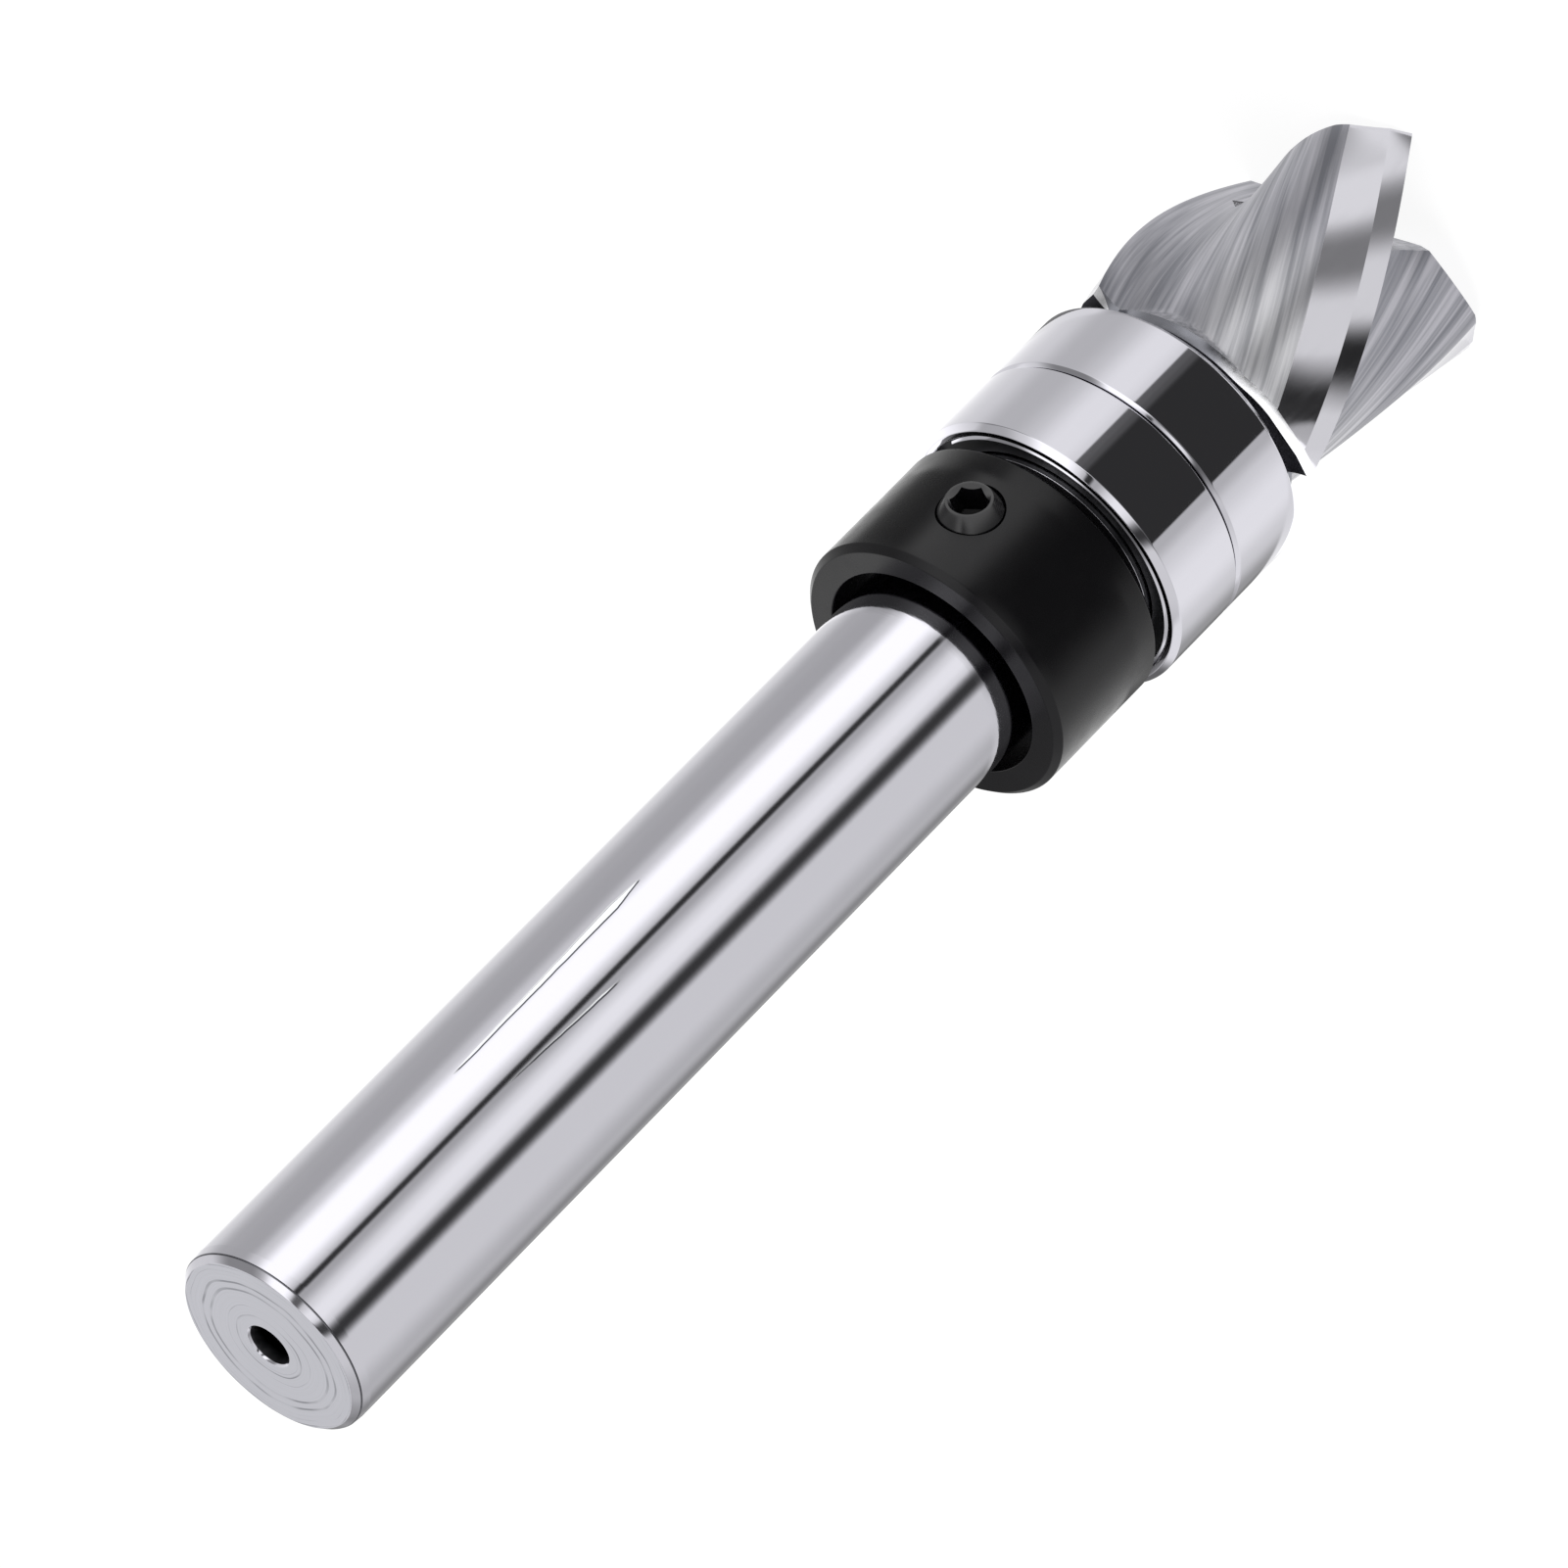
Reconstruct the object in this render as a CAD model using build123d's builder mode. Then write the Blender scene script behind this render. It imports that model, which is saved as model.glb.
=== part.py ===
"""Bearing-guided spiral flush-trim router bit.

The tool stands head down: the three end-tooth corners touch the plane Z = 0,
the axis is Z, and the shank rises towards +Z.  All sizes are in millimetres.
"""
from build123d import *
from math import cos, radians, sin, tan
import os

os.makedirs("parts", exist_ok=True)

# Shank
shank_diameter = 12.7
overall_length = 103.1
shank_end_chamfer = 0.40        # radial and axial size of the bright end chamfer
shank_lead_in = 0.07            # radial size of the fine taper behind the chamfer
shank_lead_length = 0.65
centre_hole_diameter = 2.75     # lathe centre in the shank end
centre_hole_depth = 1.3
centre_drill_diameter = 1.9
centre_drill_depth = 3.6

# Cutting head
cutting_diameter = 19.05
head_length = 19.60             # tooth corners to the shank-side face
flute_count = 3
helix_pitch_angle = 3.43        # degrees of twist per millimetre, left-hand
corner_angle = -77.3            # where the first tooth corner stands, degrees
primary_land_width = 1.5
primary_land_relief = 20.0      # degrees from the tangent
secondary_land_width = 2.9
secondary_land_relief = 32.0
back_depth_heel = 1.75          # flute depths below the cutting circle
back_depth_mid = 2.6
back_depth_deep = 3.15
core_depth = 3.23
rake_depth_root = 2.7
rake_depth_edge = 1.45
head_bevel = 0.65               # steep bevel along the shank-side edge of the teeth
head_bevel_inset = 0.12
runout_depth = 1.80             # the flute is this deep where it leaves the head
runout_length = 3.4
end_relief = 13.0               # the end teeth fall away behind their corners
end_relief_back = 28.0
end_relief_width = 4.2
end_dish = 3.0
gash_centre_depth = 1.1         # hollow that the end gashes leave at the axis
gash_angle = 47.0               # how the gash deepens along its radius
gash_side_angle = 38.0

# Shoulder, bearings and collar, stacked from the head towards the shank end
shoulder_height = 1.10
bearing_width = 5.87            # width of an inner ring
outer_ring_step = 0.035         # the outer ring is this much narrower per side
bearing_bore_clearance = 0.012
bearing_chamfer = 0.38
ball_share = 0.502055           # ball diameter over the section between bore and rim
ball_count = 14
race_clearance = 0.05
inner_land_height = 0.22        # ring shoulders stand this far above the groove
outer_land_height = 0.26
shield_thickness = 0.20
shield_depth = 0.36             # outer face of the shield below the ring face
shield_gap = 0.10               # shield bore to the inner ring
snap_ring_thickness = 0.22
snap_ring_width = 0.30
snap_ring_gap = 12.0            # opening of the snap ring, degrees
snap_ring_seat = 0.09           # how deep the snap ring sits in its groove
cage_clearance = 0.15
cage_wall = 0.606               # crown cage: its solid side behind the balls
cage_opening = 0.244            # its open side stays this far inside the balls
pocket_clearance = 0.07

spacer_thickness = 1.15
seat_inset = 0.1195             # shoulder and spacer stay this far inside the inner ring's rim
collar_width = 9.56
collar_set_back = 0.43          # the collar stays inside the guides, clear of a template
collar_chamfer = 0.40
collar_bore_clearance = 0.02
collar_recess_gap = 0.825       # counterbore round the shank, radial width
collar_recess_depth = 2.3
screw_height = 4.51             # above the lower face of the collar
screw_angle = -56.8
screw_diameter = 3.90
screw_hole_clearance = 0.10
screw_stand_out = 0.805         # the screw stands this far out of the collar
screw_cone_length = 0.95
screw_cone_diameter = 2.78
socket_across_flats = 2.0
socket_depth = 1.9
screw_tip_clearance = 0.02
screw_groove_width = 5.8        # groove in the shank under the screw, into the counterbore
screw_groove_depth = 0.20

# Positions that follow from the sizes
shank_radius = shank_diameter / 2
cutting_radius = cutting_diameter / 2
shoulder_z = head_length + shoulder_height
bearing_2_z = shoulder_z
bearing_1_z = bearing_2_z + bearing_width
spacer_z = bearing_1_z + bearing_width
collar_z = spacer_z + spacer_thickness
collar_top_z = collar_z + collar_width
bearing_diameter = cutting_diameter     # a flush cut: the guides run at the cutting circle
bearing_radius = bearing_diameter / 2
bearing_bore_radius = shank_radius + bearing_bore_clearance
pitch_radius = (bearing_bore_radius + bearing_radius) / 2
ball_diameter = ball_share * (bearing_radius - bearing_bore_radius)
ball_radius = ball_diameter / 2
groove_radius = ball_radius + race_clearance
inner_land_radius = pitch_radius - groove_radius + inner_land_height
outer_land_radius = pitch_radius + groove_radius - outer_land_height
seat_radius = inner_land_radius - seat_inset
collar_diameter = bearing_diameter - 2 * collar_set_back
screw_reach = collar_diameter / 2 + screw_stand_out
screw_z = collar_z + screw_height
screw_groove_radius = shank_radius - screw_groove_depth
screw_tip = screw_groove_radius + screw_tip_clearance


def polar(radius, angle):
    """Point at a radius and an angle in degrees."""
    return (radius * cos(radians(angle)), radius * sin(radians(angle)))


def axial_plane(z):
    """Half-plane for revolved profiles: local x is the radius, local y is Z."""
    return Plane(origin=(0, 0, z), x_dir=(1, 0, 0), z_dir=(0, -1, 0))


# Section of the head: on each tooth a primary land, a secondary land and
# the concave back that runs through the flute to the next cutting edge.
with BuildSketch() as head_section:
    with BuildLine() as outline:
        edge = Vector(cutting_radius, 0)
        land = edge + Vector(-sin(radians(primary_land_relief)),
                             cos(radians(primary_land_relief))) * primary_land_width
        heel = land + Vector(-sin(radians(secondary_land_relief)),
                             cos(radians(secondary_land_relief))) * secondary_land_width
        step = 360 / flute_count
        flute = [heel,
                 polar(cutting_radius - back_depth_heel, 0.375 * step),
                 polar(cutting_radius - back_depth_mid, 0.54 * step),
                 polar(cutting_radius - back_depth_deep, 0.70 * step),
                 polar(cutting_radius - core_depth, 0.83 * step),
                 polar(cutting_radius - rake_depth_root, 0.925 * step),
                 polar(cutting_radius - rake_depth_edge, 0.982 * step),
                 polar(cutting_radius, step)]
        for tooth in range(flute_count):
            turn = corner_angle + tooth * step
            Polyline(*[Vector(point).rotate(Axis.Z, turn) for point in (edge, land, heel)])
            Spline(*[Vector(point).rotate(Axis.Z, turn) for point in flute])
    make_face()

# One end wedge: what is ground off the tip behind a tooth corner, up to the
# rake plane of the next tooth.  Drawn with the corner on the +X axis.
reach = 2 * cutting_radius
lean = tan(radians(helix_pitch_angle)) * cutting_radius
relief_plane = Plane(origin=(-reach, 0, tan(radians(end_dish)) * (reach + cutting_radius)),
                     x_dir=(0, 1, 0),
                     z_dir=(cos(radians(end_dish)), 0, -sin(radians(end_dish))))
next_radial = Vector(*polar(1, 360 / flute_count))
next_ahead = Vector(*polar(1, 360 / flute_count - 90))
rake_plane = Plane(origin=(0, 0, 0), x_dir=next_radial,
                   z_dir=next_radial.cross(Vector(0, 0, 1) + next_ahead * lean))
with BuildPart() as relief_wedge:
    with BuildSketch(relief_plane):
        with BuildLine():
            drop = end_relief_width * tan(radians(end_relief))
            far = drop + (reach - end_relief_width) * tan(radians(end_relief_back))
            Polyline((0, -reach), (0, 0), (end_relief_width, drop),
                     (reach, far), (reach, -reach), close=True)
        make_face()
    extrude(amount=2 * reach)
    split(bisect_by=rake_plane, keep=Keep.TOP)

# The gash in front of the next tooth: deeper towards the outside, it gives
# the end teeth their room.
gash_normal = (next_radial * -tan(radians(gash_angle))
               + next_ahead * tan(radians(gash_side_angle)) + Vector(0, 0, 1))
with BuildPart() as gash_wedge:
    with BuildSketch(Plane(origin=(0, 0, gash_centre_depth), z_dir=gash_normal)):
        Rectangle(4 * reach, 4 * reach)
    extrude(amount=-2 * reach)
    split(bisect_by=rake_plane, keep=Keep.TOP)
    split(bisect_by=Plane.XZ, keep=Keep.BOTTOM)

# Inside the core the same gash follows the gentler lean that the helix has there.
core_radius = cutting_radius - core_depth
core_lean = tan(radians(helix_pitch_angle)) * core_radius
core_rake_plane = Plane(origin=(0, 0, 0), x_dir=next_radial,
                        z_dir=next_radial.cross(Vector(0, 0, 1) + next_ahead * core_lean))
with BuildPart() as core_gash:
    with BuildSketch(Plane(origin=(0, 0, gash_centre_depth), z_dir=gash_normal)):
        Rectangle(4 * reach, 4 * reach)
    extrude(amount=-2 * reach)
    split(bisect_by=core_rake_plane, keep=Keep.TOP)
    split(bisect_by=Plane.XZ, keep=Keep.BOTTOM)
    with BuildSketch(Plane.XY.offset(-reach)):
        Circle(core_radius + 0.25)
    extrude(amount=2 * reach, mode=Mode.INTERSECT)

bevel_z = head_length - head_bevel
runout_radius = cutting_radius - runout_depth
with BuildPart() as cutter_body:
    add(Solid.extrude_linear_with_rotation(
        head_section.sketch.face(), (0, 0, 0), (0, 0, bevel_z),
        -helix_pitch_angle * bevel_z))
    # the flutes run out towards the shank-side face
    with BuildSketch(Plane.XZ):
        with BuildLine():
            foot = (core_radius - 0.6, bevel_z - runout_length)
            Polyline(foot, (0, bevel_z - runout_length), (0, bevel_z), (runout_radius, bevel_z))
            TangentArc((runout_radius, bevel_z), foot, tangent=(-0.75, -0.66))
        make_face()
    revolve(axis=Axis.Z)
    # bevel along the shank-side edge of the teeth and the run-out
    with BuildSketch(Plane.XY.offset(bevel_z)) as bevel_foot:
        add(head_section.sketch, rotation=-helix_pitch_angle * bevel_z)
        Circle(runout_radius)
    with BuildSketch(Plane.XY.offset(head_length)):
        add(head_section.sketch, rotation=-helix_pitch_angle * bevel_z)
        Circle(runout_radius)
        scale(by=1 - head_bevel_inset / cutting_radius)
    loft(ruled=True)
    # end teeth: relief behind each corner and the gash before the next
    with PolarLocations(0, flute_count, start_angle=corner_angle):
        add(relief_wedge.part, mode=Mode.SUBTRACT)
        add(gash_wedge.part, mode=Mode.SUBTRACT)
        add(core_gash.part, mode=Mode.SUBTRACT)
    # shoulder that carries the bearings, and the shank; burrs that the tip of the
    # set screw raises stay in a shallow groove, so that the collar still comes off
    with BuildSketch(Plane.XY.offset(head_length)):
        Circle(seat_radius)
    extrude(amount=shoulder_height)
    with BuildSketch(axial_plane(shoulder_z)):
        with BuildLine():
            shank_length = overall_length - shoulder_z
            groove_z = screw_z - shoulder_z - screw_groove_width / 2
            Polyline((0, 0), (shank_radius, 0), (shank_radius, groove_z),
                     (screw_groove_radius, groove_z),
                     (screw_groove_radius, groove_z + screw_groove_width),
                     (shank_radius, groove_z + screw_groove_width),
                     (shank_radius, shank_length - shank_end_chamfer - shank_lead_length),
                     (shank_radius - shank_lead_in, shank_length - shank_end_chamfer),
                     (shank_radius - shank_lead_in - shank_end_chamfer, shank_length),
                     (0, shank_length), close=True)
        make_face()
    revolve(axis=Axis.Z)
    # lathe centre in the shank end, with a stepped drill point
    with BuildSketch(axial_plane(overall_length)):
        with BuildLine():
            hole = centre_hole_diameter / 2
            drill = centre_drill_diameter / 2
            Polyline((0, 0), (hole, 0), (hole, -centre_hole_depth),
                     (drill, -centre_hole_depth - (hole - drill)),
                     (drill, -centre_drill_depth),
                     (0, -centre_drill_depth - drill * tan(radians(30))), close=True)
        make_face()
    revolve(axis=Axis.Z, mode=Mode.SUBTRACT)
cutter_body.part.label = "cutter_body"
export_step(cutter_body.part, "parts/cutter_body.step")

# Two identical ball bearings.  All profiles are drawn in an axial half-plane
# whose origin is the head-side face of the bearing's inner ring.
mid = bearing_width / 2
ring_foot = outer_ring_step
ring_head = bearing_width - outer_ring_step
shield_bore_radius = inner_land_radius + shield_gap
recess_radius = pitch_radius + groove_radius + 0.03
snap_outer_radius = recess_radius + snap_ring_seat
snap_inner_radius = snap_outer_radius - snap_ring_width
inner_half = (groove_radius ** 2 - (groove_radius - inner_land_height) ** 2) ** 0.5
outer_half = (groove_radius ** 2 - (groove_radius - outer_land_height) ** 2) ** 0.5
recess_depth = shield_depth + shield_thickness

for number, bearing_z in ((1, bearing_1_z), (2, bearing_2_z)):
    with BuildPart() as inner_ring:
        with BuildSketch(axial_plane(bearing_z)):
            with BuildLine():
                ThreePointArc((inner_land_radius, mid - inner_half),
                              (pitch_radius - groove_radius, mid),
                              (inner_land_radius, mid + inner_half))
                Polyline((inner_land_radius, mid + inner_half),
                         (inner_land_radius, bearing_width),
                         (bearing_bore_radius, bearing_width),
                         (bearing_bore_radius, 0), (inner_land_radius, 0),
                         (inner_land_radius, mid - inner_half))
            make_face()
        revolve(axis=Axis.Z)
    inner_ring.part.label = f"bearing_{number}_inner_ring"
    export_step(inner_ring.part, f"parts/bearing_{number}_inner_ring.step")

    with BuildPart() as outer_ring:
        with BuildSketch(axial_plane(bearing_z)):
            with BuildLine():
                ThreePointArc((outer_land_radius, mid - outer_half),
                              (pitch_radius + groove_radius, mid),
                              (outer_land_radius, mid + outer_half))
                low = ring_foot + recess_depth
                high = ring_head - recess_depth
                slot = shield_depth - snap_ring_thickness
                Polyline((outer_land_radius, mid + outer_half),
                         (outer_land_radius, high), (recess_radius, high),
                         (recess_radius, ring_head - shield_depth),
                         (snap_outer_radius, ring_head - shield_depth),
                         (snap_outer_radius, ring_head - slot),
                         (recess_radius, ring_head - slot), (recess_radius, ring_head),
                         (bearing_radius - bearing_chamfer, ring_head),
                         (bearing_radius, ring_head - bearing_chamfer),
                         (bearing_radius, ring_foot + bearing_chamfer),
                         (bearing_radius - bearing_chamfer, ring_foot),
                         (recess_radius, ring_foot), (recess_radius, ring_foot + slot),
                         (snap_outer_radius, ring_foot + slot),
                         (snap_outer_radius, ring_foot + shield_depth),
                         (recess_radius, ring_foot + shield_depth), (recess_radius, low),
                         (outer_land_radius, low), (outer_land_radius, mid - outer_half))
            make_face()
        revolve(axis=Axis.Z)
    outer_ring.part.label = f"bearing_{number}_outer_ring"
    export_step(outer_ring.part, f"parts/bearing_{number}_outer_ring.step")

    # a shield and its snap ring at each side
    for side, face_z, inward in (("upper", ring_head, -1), ("lower", ring_foot, 1)):
        with BuildPart() as shield:
            with BuildSketch(axial_plane(bearing_z + face_z)):
                with BuildLine():
                    Polyline((shield_bore_radius, inward * shield_depth),
                             (recess_radius, inward * shield_depth),
                             (recess_radius, inward * recess_depth),
                             (shield_bore_radius, inward * recess_depth), close=True)
                make_face()
            revolve(axis=Axis.Z)
        shield.part.label = f"bearing_{number}_shield_{side}"
        export_step(shield.part, f"parts/bearing_{number}_shield_{side}.step")

        # the snap ring is a C: its gap lets it be sprung in and out
        with BuildPart() as snap_ring:
            with BuildSketch(axial_plane(bearing_z + face_z)):
                with BuildLine():
                    Polyline((snap_inner_radius, inward * (shield_depth - snap_ring_thickness)),
                             (snap_outer_radius, inward * (shield_depth - snap_ring_thickness)),
                             (snap_outer_radius, inward * shield_depth),
                             (snap_inner_radius, inward * shield_depth), close=True)
                make_face()
            revolve(axis=Axis.Z, revolution_arc=360 - snap_ring_gap)
        snap_ring.part.label = f"bearing_{number}_snap_ring_{side}"
        export_step(snap_ring.part, f"parts/bearing_{number}_snap_ring_{side}.step")

    # balls on their pitch circle, and the crown cage that spaces them
    with BuildPart() as balls:
        with Locations((0, 0, bearing_z + mid)):
            with PolarLocations(pitch_radius, ball_count):
                Sphere(ball_radius)
    balls.part.label = f"bearing_{number}_balls"
    export_step(balls.part, f"parts/bearing_{number}_balls.step")

    with BuildPart() as cage:
        with BuildSketch(axial_plane(bearing_z + mid)):
            with BuildLine():
                cage_inner = inner_land_radius + cage_clearance
                cage_outer = outer_land_radius - cage_clearance
                cage_back = ball_radius + cage_wall
                cage_front = ball_radius - cage_opening
                Polyline((cage_inner, -cage_back), (cage_outer, -cage_back),
                         (cage_outer, cage_front), (cage_inner, cage_front), close=True)
            make_face()
        revolve(axis=Axis.Z)
        # round pockets, open at one side, so that the balls snap in
        with Locations((0, 0, bearing_z + mid)):
            with PolarLocations(pitch_radius, ball_count):
                Cylinder(ball_radius + pocket_clearance, 4 * ball_radius,
                         rotation=(0, 90, 0), mode=Mode.SUBTRACT)
    cage.part.label = f"bearing_{number}_cage"
    export_step(cage.part, f"parts/bearing_{number}_cage.step")

# Spacer that bears on the inner ring only, so that the outer rings run free
with BuildPart() as spacer:
    with BuildSketch(Plane.XY.offset(spacer_z)):
        Circle(seat_radius)
        Circle(bearing_bore_radius, mode=Mode.SUBTRACT)
    extrude(amount=spacer_thickness)
spacer.part.label = "spacer"
export_step(spacer.part, "parts/spacer.step")

# Stop collar with a radial tapped hole for the set screw
screw_plane = Plane(origin=(0, 0, screw_z),
                    x_dir=(0, 0, 1), z_dir=Vector(*polar(1, screw_angle)))
with BuildPart() as stop_collar:
    with BuildSketch(Plane.XY.offset(collar_z)):
        Circle(collar_diameter / 2)
        Circle(shank_radius + collar_bore_clearance, mode=Mode.SUBTRACT)
    extrude(amount=collar_width)
    chamfer(stop_collar.edges().filter_by(GeomType.CIRCLE).filter_by(
        lambda rim: rim.radius > collar_diameter / 2 - 0.01), collar_chamfer)
    with BuildSketch(Plane.XY.offset(collar_top_z)):
        Circle(shank_radius + collar_recess_gap)
        Circle(shank_radius, mode=Mode.SUBTRACT)
    extrude(amount=-collar_recess_depth, mode=Mode.SUBTRACT)
    with BuildSketch(screw_plane):
        Circle(screw_diameter / 2 + screw_hole_clearance)
    extrude(amount=collar_diameter, mode=Mode.SUBTRACT)
stop_collar.part.label = "stop_collar"
export_step(stop_collar.part, "parts/stop_collar.step")

# Set screw: flat tip in the groove of the shank, tapered outer end, hexagon socket
with BuildPart() as set_screw:
    with BuildSketch(screw_plane.offset(screw_tip)):
        Circle(screw_diameter / 2)
    extrude(amount=screw_reach - screw_cone_length - screw_tip)
    with BuildSketch(screw_plane.offset(screw_reach - screw_cone_length)):
        Circle(screw_diameter / 2)
    with BuildSketch(screw_plane.offset(screw_reach)):
        Circle(screw_cone_diameter / 2)
    loft()
    with BuildSketch(screw_plane.offset(screw_reach)):
        RegularPolygon(socket_across_flats / 2, 6, major_radius=False)
    extrude(amount=-socket_depth, mode=Mode.SUBTRACT)
set_screw.part.label = "set_screw"
export_step(set_screw.part, "parts/set_screw.step")
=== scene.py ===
"""Looks of a spiral flush-trim router bit with two guide bearings and a stop collar."""
import bmesh
import bpy
import numpy as np
from itertools import combinations
from math import acos, cos, degrees, pi, radians, sin, sqrt, tan
from mathutils import Matrix, Vector


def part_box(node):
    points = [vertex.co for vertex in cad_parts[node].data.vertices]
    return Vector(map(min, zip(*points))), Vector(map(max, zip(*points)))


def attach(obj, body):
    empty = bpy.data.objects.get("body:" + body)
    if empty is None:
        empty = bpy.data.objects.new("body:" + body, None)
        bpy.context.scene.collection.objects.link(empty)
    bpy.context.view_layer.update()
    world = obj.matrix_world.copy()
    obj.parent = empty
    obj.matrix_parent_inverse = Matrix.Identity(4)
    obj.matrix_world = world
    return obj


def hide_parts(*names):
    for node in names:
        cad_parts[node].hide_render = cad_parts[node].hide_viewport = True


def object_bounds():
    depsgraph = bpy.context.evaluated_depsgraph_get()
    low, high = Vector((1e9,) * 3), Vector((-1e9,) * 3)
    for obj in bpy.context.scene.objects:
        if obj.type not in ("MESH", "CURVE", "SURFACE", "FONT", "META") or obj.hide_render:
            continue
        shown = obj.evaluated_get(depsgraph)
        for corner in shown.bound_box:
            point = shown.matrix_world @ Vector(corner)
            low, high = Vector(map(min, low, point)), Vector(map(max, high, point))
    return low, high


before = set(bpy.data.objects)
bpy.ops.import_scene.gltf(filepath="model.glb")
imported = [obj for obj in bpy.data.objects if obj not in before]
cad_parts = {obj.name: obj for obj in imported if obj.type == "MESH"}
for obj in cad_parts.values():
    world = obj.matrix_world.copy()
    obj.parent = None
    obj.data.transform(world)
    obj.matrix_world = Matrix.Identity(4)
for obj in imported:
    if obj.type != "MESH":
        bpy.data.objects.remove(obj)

bl_info = {
    "name": "Spiral flush-trim router bit",
    "version": (1, 0, 0),
    "blender": (4, 5, 0),
    "location": "View3D > Sidebar > Router bit",
    "description": "Cutting head, shank, stop collar, guide bearings and studio of a router bit",
    "category": "Add Mesh",
}

MM = 0.001
NODE_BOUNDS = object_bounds()
SHANK_END = NODE_BOUNDS[1][2]

# Radii in the guide bearings, in millimetres: the bore of inner rings and spacer, the
# balls' pitch circle and their race, the shields' seat and the snap rings' slot.
BORE, PITCH, RACE, SEAT, SLOT = 6.362, 7.9435, 0.844, 8.8175, 8.9075
# Depths under a face of the outer ring, in millimetres.
SLOT_TOP, SHIELD_TOP, SHIELD_FOOT = 0.14, 0.36, 0.56
# The two scrapes on the shank: start and end as (height, angle), and half width at the
# widest, in millimetres and degrees.
SCRAPES = (((86.0, -59.2), (68.9, -56.3), 0.25), ((84.75, -83.1), (74.8, -86.8), 0.055))
# Where the set screw stands round the collar.
SCREW_ANGLE = radians(-56.8)
# The hollow of a flute: its depth below the cutting circle in millimetres, by the share of
# the way from a cutting edge to the next.
HOLLOW = ((0.375, 1.75), (0.54, 2.6), (0.70, 3.15), (0.83, 3.23), (0.925, 2.7), (0.982, 1.45), (1, 0))
# Edges that bend more than this stay sharp on turned and ground pieces.
SHARP = radians(30)

# The kinds of node that come up most, and the part of its range that a noise fills.
MATH, RANGE, MIX = "ShaderNodeMath", "ShaderNodeMapRange", "ShaderNodeMix"
MIDDLE = (0.3, 0.7)


def linear(hex_colour):
    """sRGB hex to linear red, green and blue."""
    parts = [int(hex_colour[i:i + 2], 16) / 255 for i in (1, 3, 5)]
    return tuple(c / 12.92 if c <= 0.04045 else ((c + 0.055) / 1.055) ** 2.4 for c in parts)


def rgba(colour):
    """Linear colour with full cover, from sRGB hex or from a setting."""
    return (*(linear(colour) if isinstance(colour, str) else colour), 1)


def height_of(node):
    """Lower and upper end of a CAD node, in millimetres."""
    low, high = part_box(node)
    return low.z / MM, high.z / MM


def size(name, description, millimetres):
    return bpy.props.FloatProperty(name=name, description=description, unit="LENGTH", precision=5,
                                   default=millimetres * MM, min=0.0)


def paint(name, description, hex_colour):
    return bpy.props.FloatVectorProperty(name=name, description=description, subtype="COLOR",
                                         size=3, min=0.0, max=1.0, default=linear(hex_colour))


class HeadSettings(bpy.types.PropertyGroup):
    cutting_diameter: size("Cutting diameter", "Circle that the cutting edges run on", 19.05)
    length: size("Head length", "Tooth corners to the shank-side face", 19.60)
    flutes: bpy.props.IntProperty(name="Flutes", description="Number of teeth and flutes",
                                  default=3, min=1, max=6)
    twist: bpy.props.FloatProperty(name="Twist per metre", subtype="ANGLE", default=radians(3430),
                                   description="Left-hand turn of the flutes along the axis")
    corner: bpy.props.FloatProperty(name="First corner", subtype="ANGLE", default=radians(-77.3),
                                    description="Where the first tooth corner stands")
    land: size("Primary land", "Polished strip behind the cutting edge", 1.5)
    back_land: size("Secondary land", "Relieved strip behind the primary land", 2.9)
    bevel: size("Bevel", "Height of the bevel at the shank side", 0.65)
    bevel_inset: size("Bevel inset", "How far the bevel leans in", 0.12)
    runout_depth: size("Run-out depth", "Depth of the flutes where they leave the head", 1.80)
    runout_length: size("Run-out length", "Height over which the flutes run out", 3.4)
    steel: paint("Land steel", "Polished lands", "#CFCED4")
    flute_steel: paint("Flute steel", "Ground flutes", "#B9B8BF")


class ShankSettings(bpy.types.PropertyGroup):
    diameter: size("Shank diameter", "Polished straight shank", 12.7)
    edge: size("Edge break", "Radius of the broken edges", 0.05)
    centre_hole: size("Centre hole", "Lathe centre in the shank end", 2.75)
    steel: paint("Shank steel", "Polished shank", "#CFCED5")
    face_steel: paint("End face steel", "Turned face of the shank end", "#BFBFC6")


class BearingSettings(bpy.types.PropertyGroup):
    balls: bpy.props.IntProperty(name="Balls", description="Balls in each bearing",
                                 default=14, min=6, max=24)
    chamfer: size("Ring chamfer", "Chamfer of the outer rings", 0.38)
    joint_chamfer: size("Joint chamfer", "Chamfer where the two rings meet", 0.22)
    edge: size("Edge break", "Radius of the broken edges", 0.06)
    steel: paint("Ring steel", "Superfinished bearing rings", "#D2D1D8")
    shield: paint("Shield", "Dark pressed shields", "#26272A")


class CollarSettings(bpy.types.PropertyGroup):
    chamfer: size("Collar chamfer", "Chamfer of the collar's rims", 0.40)
    edge: size("Edge break", "Radius of the broken edges", 0.08)
    socket: size("Socket across flats", "Hexagon socket of the set screw", 2.0)
    black: paint("Black oxide", "Blackened steel of collar, spacer and screw", "#0B0A0D")


class StageSettings(bpy.types.PropertyGroup):
    floor: paint("Floor", "Pale studio floor", "#7C7C7C")
    lens: bpy.props.FloatProperty(name="Lens", description="Focal length in millimetres on a 36 mm sensor",
                                  default=292.6, min=10)


def feed(node, inputs):
    """Links or sets the inputs of a node.  A node given as a source stands for its first
    output in use."""
    for socket, source in (inputs.items() if isinstance(inputs, dict) else enumerate(inputs)):
        if isinstance(source, bpy.types.Node):
            source = next(output for output in source.outputs if output.enabled)
        if isinstance(source, bpy.types.NodeSocket):
            node.id_data.links.new(source, node.inputs[socket])
        else:
            node.inputs[socket].default_value = source


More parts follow.
